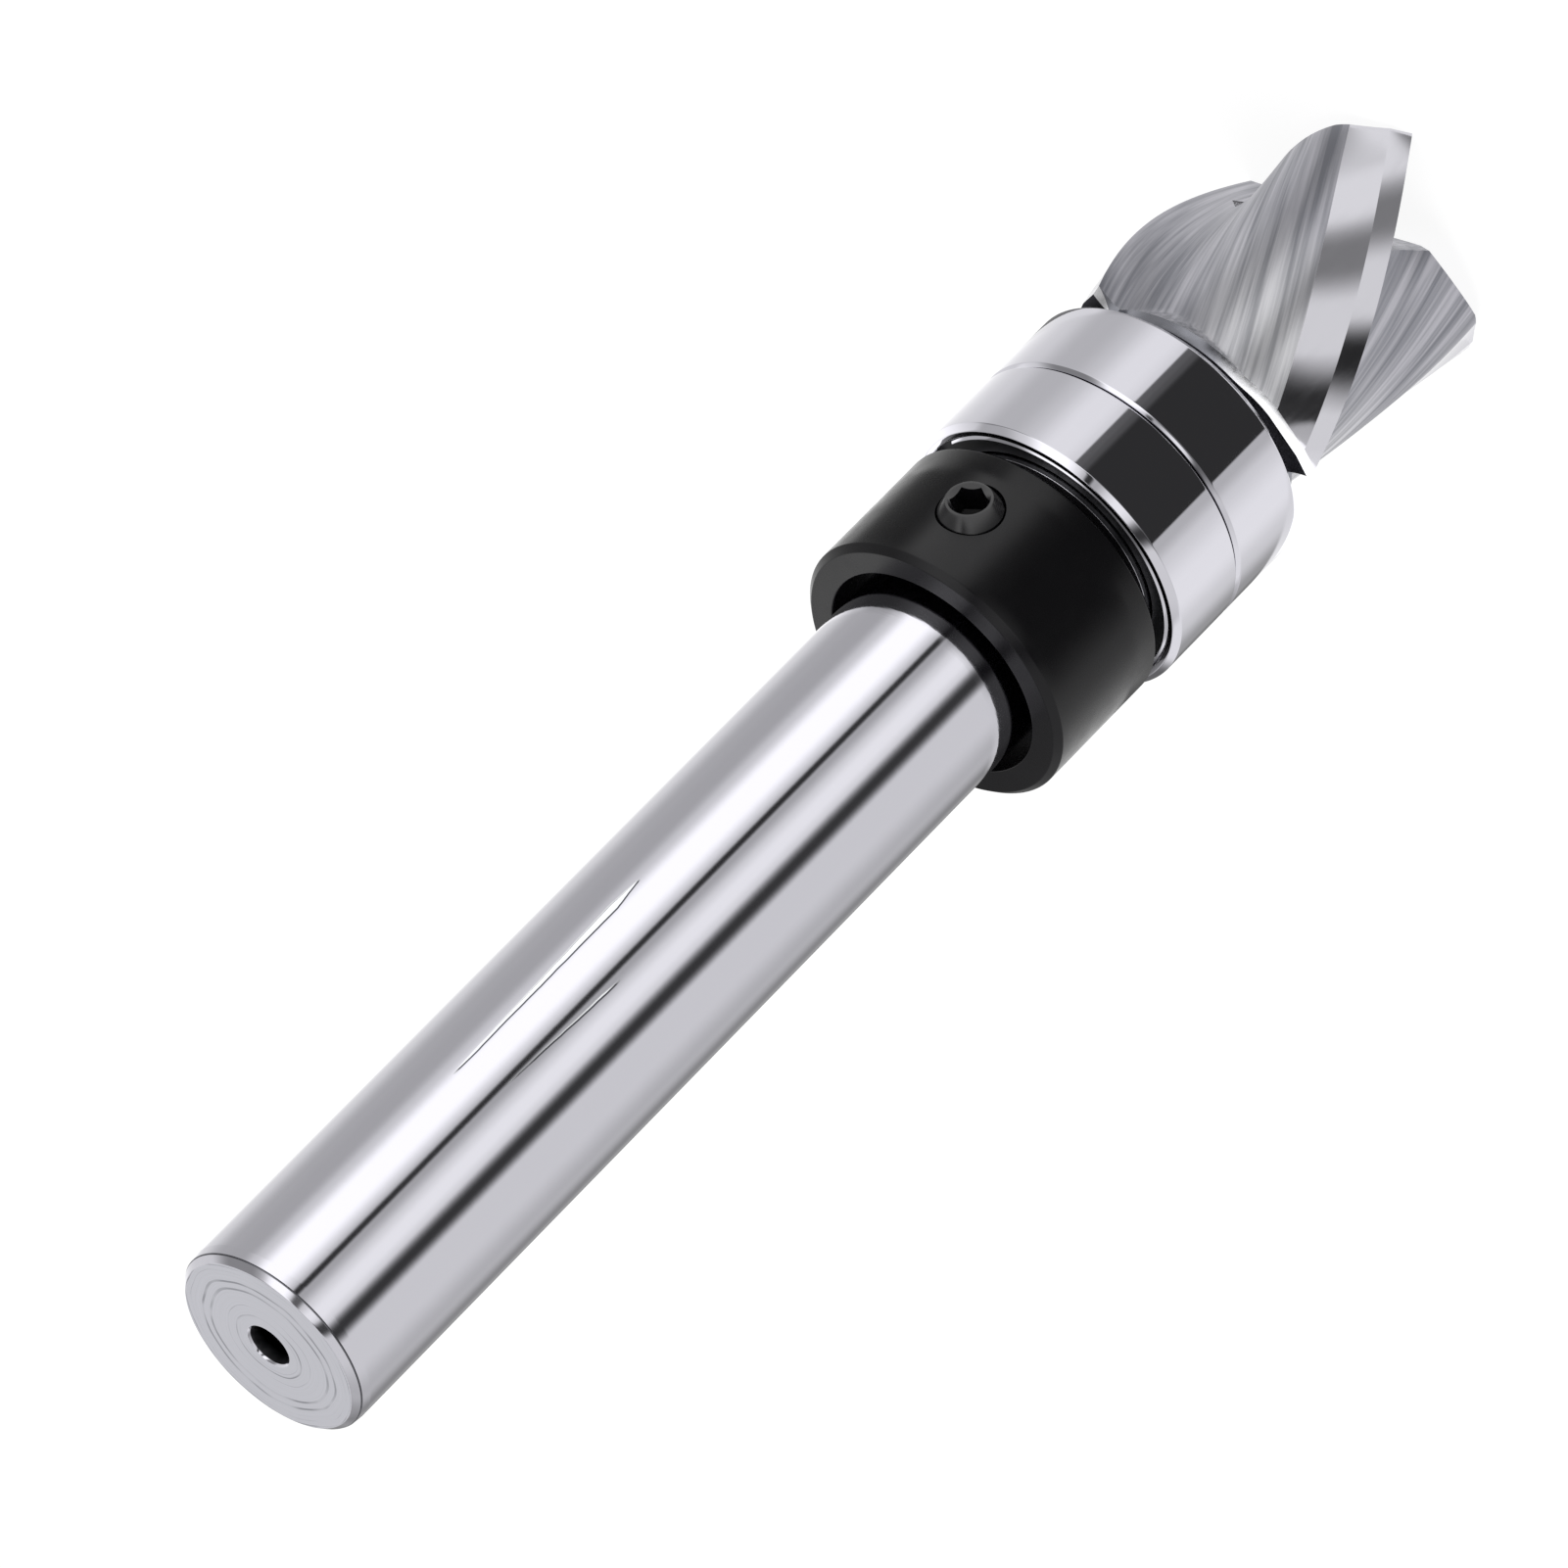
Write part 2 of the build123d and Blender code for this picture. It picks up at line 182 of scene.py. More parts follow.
def add(tree, kind, inputs=(), **settings):
    """A new node with its settings, and its inputs linked or set."""
    node = tree.nodes.new(kind)
    for key, value in settings.items():
        setattr(node, key, value)
    feed(node, inputs)
    return node


def shader_of(name):
    """A new material, its tree and its Principled shader."""
    material = bpy.data.materials.new(name)
    material.use_nodes = True
    return material, material.node_tree, material.node_tree.nodes["Principled BSDF"]


def surface(name):
    """The same, with the Object coordinates that its patterns read."""
    material, tree, shader = shader_of(name)
    return material, tree, shader, add(tree, "ShaderNodeTexCoord").outputs["Object"]


def measured(tree, place, grain, detail=2.0, stretch=(1, 1, 1), turn=None):
    """Noise whose grains are this many millimetres across, stretched along an axis."""
    if turn is not None:
        place = add(tree, "ShaderNodeVectorRotate", {"Vector": place, "Angle": turn}, rotation_type="Z_AXIS")
    place = add(tree, "ShaderNodeMapping", {"Vector": place, "Scale": stretch})
    return add(tree, "ShaderNodeTexNoise", {"Vector": place, "Scale": 1 / (grain * MM), "Detail": detail,
                                            "Roughness": 0.55})


def gouge(tree, place, radius, start, end, width):
    """A long shallow scrape on a cylinder, from (height, angle) to (height, angle) in
    millimetres and degrees: how far a point is inside it, on its lower and on its
    upper lip, and how far it is off the middle line."""
    x, y, z = add(tree, "ShaderNodeSeparateXYZ", (place,)).outputs
    along = add(tree, RANGE, (z, start[0] * MM, end[0] * MM, 0, 1))
    sway, lip_core, lip_rim = 0.035 * MM, 0.02 * MM, 0.075 * MM
    waver = measured(tree, place, 1.1, stretch=(0.1, 0.1, 1))
    waver = add(tree, RANGE, (waver, 0, 1, -sway, sway))
    line = add(tree, RANGE, (along, 0, 1, radians(start[1]), radians(end[1])))
    turn = add(tree, MATH, (y, x), operation="ARCTAN2")
    turn = add(tree, MATH, (turn, line), operation="SUBTRACT")
    side = add(tree, MATH, (turn, radius, waver), operation="MULTIPLY_ADD")
    # half width: a pointed start, widest near the end, and a short taper after that
    swell = add(tree, RANGE, (along, 0.2, 0.85, 0.3, 1))
    for fade in ((0.86, 1, 1, 0), (0, 0.12, 0, width * MM)):
        swell = add(tree, MATH, (swell, add(tree, RANGE, (along, *fade))), operation="MULTIPLY")
    off = add(tree, MATH, (side,), operation="ABSOLUTE")
    room = add(tree, MATH, (swell, 1e-7), operation="MAXIMUM")
    inside = add(tree, MATH, (off, room), operation="DIVIDE")
    there = add(tree, RANGE, (swell, 0, lip_core, 0, 1))
    masks = [add(tree, RANGE, (inside, 0.8, 1.0, 1, 0))]
    for operation in ("ADD", "SUBTRACT"):
        lip = add(tree, MATH, (side, swell), operation=operation)
        lip = add(tree, MATH, (lip,), operation="ABSOLUTE")
        lip = add(tree, RANGE, (lip, lip_core, lip_rim, 1, 0))
        masks.append(add(tree, MATH, (there, lip), operation="MULTIPLY"))
    return (*masks, side)


def polished_shank_steel(settings):
    """Hardened tool steel, cylindrical ground and polished: a mirror that faint lines
    along and round the axis soften, with two long scrapes that have a painted highlight
    on one lip and a painted shadow on the other."""
    material, tree, shader, place = surface("polished_shank_steel")
    soft = measured(tree, place, 2.2, stretch=(1, 1, 0.08))
    fine = measured(tree, place, 0.35, stretch=(0.15, 0.15, 1))
    rough = add(tree, RANGE, (soft, *MIDDLE, 0.05, 0.09))
    tone, lean = rgba(settings.steel), 0.0
    for start, end, width in SCRAPES:
        fill, lower, upper, side = gouge(tree, place, settings.diameter / 2, start, end, width)
        # each scrape: its own paler fill, a painted highlight on the upper lip and a painted shadow on the
        # lower lip
        for mask, colour in ((fill, "#DADCE1"), (upper, "#F4F5F7"), (lower, "#33343A")):
            tone = add(tree, MIX, {0: mask, 6: tone, 7: rgba(colour)}, data_type="RGBA")
        dull = add(tree, MATH, (fill, 0.2), operation="MULTIPLY")
        rough = add(tree, MATH, (rough, dull), operation="MAXIMUM")
        across = add(tree, MATH, (side, fill), operation="MULTIPLY")
        lean = add(tree, MATH, (across, 0.16, lean), operation="MULTIPLY_ADD")
    bump = add(tree, "ShaderNodeBump", {"Height": fine, "Strength": 0.03, "Distance": 0.1 * MM})
    slant = add(tree, "ShaderNodeBump", {"Height": lean, "Distance": 1.0, "Normal": bump})
    feed(shader, {"Base Color": tone, "Metallic": 1, "Roughness": rough, "Normal": slant})
    return material


def drilled_hole_steel():
    """The wall of the lathe centre, bright at its mouth and dull below, its colour painted black
    deeper in as the shade inside the hole, and the fine line turned round the end's rim, painted dark
    as the shade in its groove."""
    material, tree, shader, place = surface("drilled_hole_steel")
    height = add(tree, "ShaderNodeSeparateXYZ", (place,)).outputs["Z"]
    # painted shade: the colour is black deep in the hole and lightens towards the lit mouth, which the clean
    # mask marks
    clean = add(tree, RANGE, (height, SHANK_END - 0.9 * MM, SHANK_END - 0.1 * MM, 0, 1))
    tone = add(tree, MIX, {0: clean, 6: rgba("#08080A"), 7: rgba("#8E8E94")}, data_type="RGBA")
    rough = add(tree, RANGE, (measured(tree, place, 0.3), *MIDDLE, 0.3, 0.5))
    feed(shader, {"Base Color": tone, "Metallic": 1, "Roughness": rough})
    return material


def turned_end_steel(settings):
    """The same steel faced on a lathe: pale and even, with thin broken rings round the hole."""
    material, tree, shader, place = surface("turned_end_steel")
    flat = add(tree, "ShaderNodeVectorMath", (place, (1, 1, 0)), operation="MULTIPLY")
    radius = add(tree, "ShaderNodeVectorMath", (flat,), operation="LENGTH")
    wander = add(tree, RANGE, (measured(tree, place, 3.5, detail=1), *MIDDLE, -0.12 * MM, 0.12 * MM))
    path = add(tree, MATH, (radius, wander), operation="ADD")
    ring, fine = (add(tree, "ShaderNodeTexNoise", {"W": path, "Scale": 1 / (grain * MM), "Detail": detail},
                      noise_dimensions="1D") for grain, detail in ((0.3, 2.0), (0.09, 1.0)))
    broken = add(tree, RANGE, (measured(tree, place, 2.4, detail=1), 0.4, 0.6, 0.15, 1))
    line = add(tree, MATH, (add(tree, RANGE, (ring, 0.60, 0.66, 0, 1)), broken), operation="MULTIPLY")
    haze = add(tree, RANGE, (fine, 0.35, 0.7, 0, 0.35))
    tone = add(tree, MIX, {0: haze, 6: rgba(settings.face_steel), 7: rgba("#B4B5BA")}, data_type="RGBA")
    tone = add(tree, MIX, {0: line, 6: tone, 7: rgba("#8A8B91")}, data_type="RGBA")
    bump = add(tree, "ShaderNodeBump", {"Height": fine, "Strength": 0.1, "Distance": 0.01 * MM})
    feed(shader, {"Base Color": tone, "Metallic": 1, "Roughness": 0.3, "Normal": bump})
    return material


def tooth_share(tree, place, settings):
    """How far round from its cutting edge a point of the head stands, 1 at the next edge."""
    x, y, z = add(tree, "ShaderNodeSeparateXYZ", (place,)).outputs
    turn = add(tree, MATH, (y, x), operation="ARCTAN2")
    turn = add(tree, MATH, (z, settings.twist, turn), operation="MULTIPLY_ADD")
    turn = add(tree, MATH, (turn, settings.corner), operation="SUBTRACT")
    teeth = add(tree, MATH, (turn, settings.flutes / (2 * pi)), operation="MULTIPLY")
    return add(tree, MATH, (teeth,), operation="FRACT")


def ground_flute_steel(settings):
    """The same steel as a grinding wheel leaves it in the flutes: satin, with lines that
    follow the helix, and a painted highlight behind the lands towards the shank side."""
    material, tree, shader, place = surface("ground_flute_steel")
    height = add(tree, "ShaderNodeSeparateXYZ", (place,)).outputs["Z"]
    untwist = add(tree, MATH, (height, settings.twist), operation="MULTIPLY")
    lines = measured(tree, place, 0.3, detail=3, stretch=(1, 1, 0.03), turn=untwist)
    broad = measured(tree, place, 1.6, stretch=(1, 1, 0.1), turn=untwist)
    mixed = add(tree, MATH, (broad, 0.5), operation="MULTIPLY")
    mixed = add(tree, MATH, (lines, 0.5, mixed), operation="MULTIPLY_ADD")
    streaks = (0.38, 0.6)
    tone = add(tree, MIX, {0: add(tree, RANGE, (mixed, *streaks, 0, 1)), 6: rgba(settings.flute_steel),
                           7: rgba("#85868D")}, data_type="RGBA")
    # painted highlight: paler behind each land, stronger towards the shank side and weaker on the streaks
    pale = add(tree, RANGE, (tooth_share(tree, place, settings), 0.36, 0.72, 1, 0))
    for part in (add(tree, RANGE, (height, 8 * MM, 16 * MM, 0, 0.9)),
                 add(tree, RANGE, (mixed, *streaks, 1, 0.35))):
        pale = add(tree, MATH, (pale, part), operation="MULTIPLY")
    tone = add(tree, MIX, {0: pale, 6: tone, 7: rgba("#F2F2F4")}, data_type="RGBA")
    rough = add(tree, RANGE, (broad, *MIDDLE, 0.36, 0.48))
    bump = add(tree, "ShaderNodeBump", {"Height": lines, "Strength": 0.35, "Distance": 0.03 * MM})
    feed(shader, {"Base Color": tone, "Metallic": 1, "Roughness": rough, "Normal": bump})
    return material


def ground_bevel_steel(settings):
    """The same steel where a cup wheel left the bevel: a bright even haze on the teeth,
    and a darker colour where the flutes leave."""
    material, tree, shader, place = surface("ground_bevel_steel")
    dull = add(tree, RANGE, (tooth_share(tree, place, settings), 0.38, 0.52, 0, 1))
    tone = add(tree, MIX, {0: dull, 6: rgba("#EDEDF0"), 7: rgba("#8E8F96")}, data_type="RGBA")
    rough = add(tree, RANGE, (measured(tree, place, 0.4), *MIDDLE, 0.16, 0.26))
    feed(shader, {"Base Color": tone, "Metallic": 1, "Roughness": rough})
    return material


def black_oxide_steel(name, settings, roughness, sheen=0.25):
    """Steel in a black oxide bath: near black, with a satin sheen over a fine grain."""
    material, tree, shader, place = surface(name)
    cloud, grain = measured(tree, place, 1.5), measured(tree, place, 0.12)
    tone = add(tree, MIX, {0: cloud, 6: rgba(settings.black), 7: rgba("#100F13")}, data_type="RGBA")
    rough = add(tree, RANGE, (cloud, *MIDDLE, roughness - 0.05, roughness + 0.05))
    bump = add(tree, "ShaderNodeBump", {"Height": grain, "Strength": 0.12, "Distance": 0.02 * MM})
    feed(shader, {"Base Color": tone, "Specular IOR Level": sheen, "Roughness": rough, "Normal": bump})
    return material


def even_steel(name, colour, rough, metallic=1, **noise):
    """Steel of one colour, whose roughness wanders between two values with a noise."""
    material, tree, shader, place = surface(name)
    rough = add(tree, RANGE, (measured(tree, place, **noise), *MIDDLE, *rough))
    feed(shader, {"Base Color": rgba(colour), "Metallic": metallic, "Roughness": rough})
    return material


def superfinished_ring_steel(settings):
    """Chrome bearing steel, ground and superfinished: a clean mirror."""
    return even_steel("superfinished_ring_steel", settings.steel, (0.03, 0.07), grain=0.6,
                      stretch=(0.2, 0.2, 1))


def polished_land_steel(settings):
    """Micrograin tool steel, fine ground on the lands: bright, with a slight haze."""
    return even_steel("polished_land_steel", settings.steel, (0.08, 0.16), grain=0.5, stretch=(1, 1, 0.2))


def shaded_face_steel():
    """The narrow face under the bearings, left coarse, with its colour painted dark as the shade in the gap.
    """
    return even_steel("shaded_face_steel", "#4A4A50", (0.4, 0.5), grain=0.4)


def dark_shield_steel(settings):
    """Thin pressed sheet in a dark colour: dull and slightly cloudy."""
    return even_steel("dark_shield_steel", settings.shield, (0.35, 0.5), metallic=0.4, grain=0.8)


def pressed_cage_steel():
    """Deep-drawn strip steel: soft sheen, slightly darker than the rings."""
    return even_steel("pressed_cage_steel", "#9A9B9E", (0.28, 0.42), grain=0.6)


def in_scene(name, data):
    """A new object on this data, in the scene."""
    piece = bpy.data.objects.new(name, data)
    bpy.context.scene.collection.objects.link(piece)
    return piece


def as_data(name, mesh):
    """A bmesh as mesh data."""
    data = bpy.data.meshes.new(name)
    mesh.to_mesh(data)
    mesh.free()
    return data


def shade(mesh):
    """Smooth faces, with the sharp edges left crisp."""
    for face in mesh.faces:
        face.smooth = True
    for edge in mesh.edges:
        edge.smooth = len(edge.link_faces) == 2 and edge.calc_face_angle() < SHARP


def as_object(name, mesh):
    """A bmesh as a shaded object in the scene."""
    shade(mesh)
    return in_scene(name, as_data(name, mesh))


def profile_points(corners, guard):
    """Closed profile in (radius, height) with rounded corners and a guard point each side
    of a rounding, so that flats stay flat when shaded smooth."""
    area = sum(a[0] * b[1] - b[0] * a[1] for a, b in zip(corners, corners[1:] + corners[:1]))
    if area < 0:
        corners = corners[::-1]
    points = []
    for i, (r, z, fillet) in enumerate(corners):
        here = Vector((r, z))
        back = Vector(corners[i - 1][:2]) - here
        ahead = Vector(corners[(i + 1) % len(corners)][:2]) - here
        room_back, room_ahead = back.length, ahead.length
        back, ahead = back.normalized(), ahead.normalized()
        if fillet <= 0:
            if r > 0 and room_back > 3 * guard:
                points.append(here + back * guard)
            points.append(here)
            if r > 0 and room_ahead > 3 * guard:
                points.append(here + ahead * guard)
            continue
        opening = acos(max(-1, min(1, back.dot(ahead))))
        reach = min(fillet / tan(opening / 2), 0.45 * room_back, 0.45 * room_ahead)
        radius = reach * tan(opening / 2)
        centre = here + (back + ahead).normalized() * (radius / sin(opening / 2))
        start, end = here + back * reach - centre, here + ahead * reach - centre
        if room_back - reach > 3 * guard:
            points.append(here + back * (reach + guard))
        steps = max(2, round(degrees(pi - opening) / 15))
        for k in range(steps + 1):
            way = start.lerp(end, k / steps).normalized() * radius
            points.append(centre + way)
        if room_ahead - reach > 3 * guard:
            points.append(here + ahead * (reach + guard))
    return points


def turned(name, corners, segments=192, guard=0.06, opening=0.0):
    """A lathe-turned mesh from a closed profile of (radius, height, edge radius) in
    millimetres.  An opening in degrees leaves a gap, as in a snap ring."""
    points = profile_points(corners, guard)
    whole = opening == 0
    columns = segments if whole else segments + 1
    sweep = 2 * pi - radians(opening)
    mesh = bmesh.new()
    grid = []
    for p in points:
        if p.x < 1e-9:
            grid.append([mesh.verts.new((0, 0, p.y * MM))] * columns)
        else:
            grid.append([mesh.verts.new((p.x * MM * cos(sweep * k / segments),
                                         p.x * MM * sin(sweep * k / segments), p.y * MM))
                         for k in range(columns)])
    for low, high in zip(grid, grid[1:] + grid[:1]):
        for k in range(segments):
            m = (k + 1) % columns
            corner = []
            for vertex in (low[k], low[m], high[m], high[k]):
                if vertex not in corner:
                    corner.append(vertex)
            if len(corner) > 2:
                mesh.faces.new(corner)
    if not whole:
        mesh.faces.new([ring[0] for ring in grid][::-1])
        mesh.faces.new([ring[-1] for ring in grid])
    bmesh.ops.recalc_face_normals(mesh, faces=mesh.faces)
    return as_object(name, mesh)


def plain(piece):
    """Turns the piece into the plain mesh that its modifiers give, and clears them."""
    bpy.context.view_layer.update()
    seen = piece.evaluated_get(bpy.context.evaluated_depsgraph_get())
    data = bpy.data.meshes.new_from_object(seen)
    data.name = piece.name
    piece.modifiers.clear()
    piece.data = data


def cut(piece, *tools):
    """The piece less the tools, which are used up."""
    for tool in tools:
        step = piece.modifiers.new("Cut", "BOOLEAN")
        step.operation, step.solver, step.object = "DIFFERENCE", "EXACT", tool
    plain(piece)
    for tool in tools:
        bpy.data.objects.remove(tool)
    mesh = bmesh.new()
    mesh.from_mesh(piece.data)
    shade(mesh)
    mesh.to_mesh(piece.data)
    mesh.free()


def finish_piece(piece, body, slot, nodes, *materials):
    """The piece gets its materials, rides on its body and stands for its CAD nodes."""
    if materials:
        piece.data.materials.clear()
        for material in materials:
            piece.data.materials.append(material)
    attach(piece, body)
    if nodes:
        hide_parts(*nodes)


def block(planes, reach=30.0):
    """Convex block where every (point, normal) plane has it on its inner side."""
    sides = [(Vector(p), Vector(n).normalized()) for p, n in planes]
    for axis in range(3):
        for sign in (-1, 1):
            away = Vector((0, 0, 0))
            away[axis] = sign
            sides.append((away * reach, away))
    normals = np.array([n for _, n in sides])
    offsets = np.array([p.dot(n) for p, n in sides])
    found = []
    for trio in combinations(range(len(sides)), 3):
        system = normals[list(trio)]
        if abs(np.linalg.det(system)) < 1e-9:
            continue
        point = np.linalg.solve(system, offsets[list(trio)])
        if np.all(normals @ point <= offsets + 1e-7):
            found.append(point)
    mesh = bmesh.new()
    for point in found:
        mesh.verts.new(point * MM)
    bmesh.ops.remove_doubles(mesh, verts=mesh.verts, dist=1e-8)
    bmesh.ops.convex_hull(mesh, input=mesh.verts)
    bmesh.ops.dissolve_limit(mesh, angle_limit=radians(0.5), verts=mesh.verts, edges=mesh.edges)
    bmesh.ops.recalc_face_normals(mesh, faces=mesh.faces)
    return mesh


def end_wedges(settings):
    """What is ground off the tip behind one tooth corner: a relief in two steps and the
    gash in front of the next tooth, drawn with the corner on the +X axis."""
    radius = settings.cutting_diameter / MM / 2
    step = 2 * pi / settings.flutes
    lead = tan(settings.twist * MM)
    dish, relief, back, width = radians(3), radians(13), radians(28), 4.2
    gash, side, centre = radians(47), radians(38), 1.1
    core = radius - max(depth for _, depth in HOLLOW)
    wall = core + 0.25
    outward = Vector((cos(step), sin(step), 0))
    ahead = Vector((cos(step - pi / 2), sin(step - pi / 2), 0))
    up = Vector((sin(dish), 0, cos(dish)))
    across, axis = Vector((0, 1, 0)), Vector((0, 0, 1))
    corner = Vector((radius, 0, 0))
    rake, core_rake = (((0, 0, 0), -(ahead - axis * lead * reach)) for reach in (radius, core))
    floor = ((0, 0, centre), -outward * tan(gash) + ahead * tan(side) + axis)
    front = ((0, 0, 0), -across)
    rim = [((cos(a) * wall, sin(a) * wall, 0), (cos(a), sin(a), 0))
           for a in (2 * pi * k / 24 for k in range(24))]
    behind = corner + across * width
    parts = [block([(corner, up * cos(relief) - across * sin(relief)), front, rake]),
             block([(behind + up * width * tan(relief), up * cos(back) - across * sin(back)),
                    (behind, -across), rake]),
             block([floor, rake, front]),
             block([floor, core_rake, front] + rim)]
    joined, data = bmesh.new(), bpy.data.meshes.new("end wedge")
    for part in parts:
        part.to_mesh(data)
        part.free()
        joined.from_mesh(data)
    bpy.data.meshes.remove(data)
    return in_scene("end wedges", as_data("end wedges", joined))


def through(points, count):
    """Points along the smooth curve through the given ones, with the end slopes of the
    cubics through its first and last four points."""
    points = np.array(points, float)
    t = np.concatenate([[0], np.cumsum(np.linalg.norm(np.diff(points, axis=0), axis=1))])
    slopes = []
    for part in (slice(0, 4), slice(-4, None)):
        at = t[part][0 if part.start == 0 else -1]
        fit = np.polyfit(t[part] - at, points[part], 3)
        slopes.append(fit[2])
    n = len(points)
    system, wanted = np.zeros((n, n)), np.zeros((n, 2))
    system[0, 0] = system[-1, -1] = 1
    wanted[0], wanted[-1] = slopes
    h = np.diff(t)
    for i in range(1, n - 1):
        system[i, i - 1:i + 2] = h[i], 2 * (h[i - 1] + h[i]), h[i - 1]
        wanted[i] = 3 * (h[i] / h[i - 1] * (points[i] - points[i - 1])
                         + h[i - 1] / h[i] * (points[i + 1] - points[i]))
    slope = np.linalg.solve(system, wanted)
    result = []
    for i in range(n - 1):
        share = max(2, round(count * h[i] / t[-1]))
        for k in range(share):
            u = k / share
            result.append((2 * u**3 - 3 * u**2 + 1) * points[i] + (u**3 - 2 * u**2 + u) * h[i] * slope[i]
                          + (3 * u**2 - 2 * u**3) * points[i + 1] + (u**3 - u**2) * h[i] * slope[i + 1])
    return result


def head_section(settings):
    """Wire of the head's section: on each tooth a primary land, a secondary land and the
    hollow back that runs through the flute to the next cutting edge."""
    radius = settings.cutting_diameter / MM / 2
    step = 360 / settings.flutes
    relief, back = radians(20), radians(32)
    edge = np.array((radius, 0))
    land = edge + np.array((-sin(relief), cos(relief))) * settings.land / MM
    heel = land + np.array((-sin(back), cos(back))) * settings.back_land / MM
    hollow = [heel] + [np.array((cos(radians(share * step)), sin(radians(share * step)))) * (radius - depth)
                       for share, depth in HOLLOW]
    # each point with two marks: it starts a strip of land, and it starts a crisp line
    tooth = [(edge + (land - edge) * k / 5, True, k == 0) for k in range(5)]
    tooth += [(land + (heel - land) * k / 9, True, k == 0) for k in range(9)]
    tooth += [(p, k == 0, k == 0) for k, p in enumerate(through(hollow, 40))]
    mesh = bmesh.new()
    on_land, on_corner = (mesh.verts.layers.float.new(name) for name in ("land", "corner"))
    ring = []
    for number in range(settings.flutes):
        turn = settings.corner + radians(step * number)
        for (x, y), polished, corner in tooth:
            vertex = mesh.verts.new(((x * cos(turn) - y * sin(turn)) * MM,
                                     (x * sin(turn) + y * cos(turn)) * MM, 0))
            vertex[on_land], vertex[on_corner] = float(polished), float(corner)
            ring.append(vertex)
    for a, b in zip(ring, ring[1:] + ring[:1]):
        mesh.edges.new((a, b))
    return as_data("cutting_head", mesh)


def geometry_tree(name, output, inputs):
    """An empty Geometry Nodes tree with these names for each kind of input, and its inputs."""
    tree = bpy.data.node_groups.new(name, "GeometryNodeTree")
    for kind, names in inputs.items():
        for socket in names:
            tree.interface.new_socket(socket, in_out="INPUT", socket_type="NodeSocket" + kind)
    tree.interface.new_socket(output, in_out="OUTPUT", socket_type="NodeSocketGeometry")
    return tree, add(tree, "NodeGroupInput").outputs


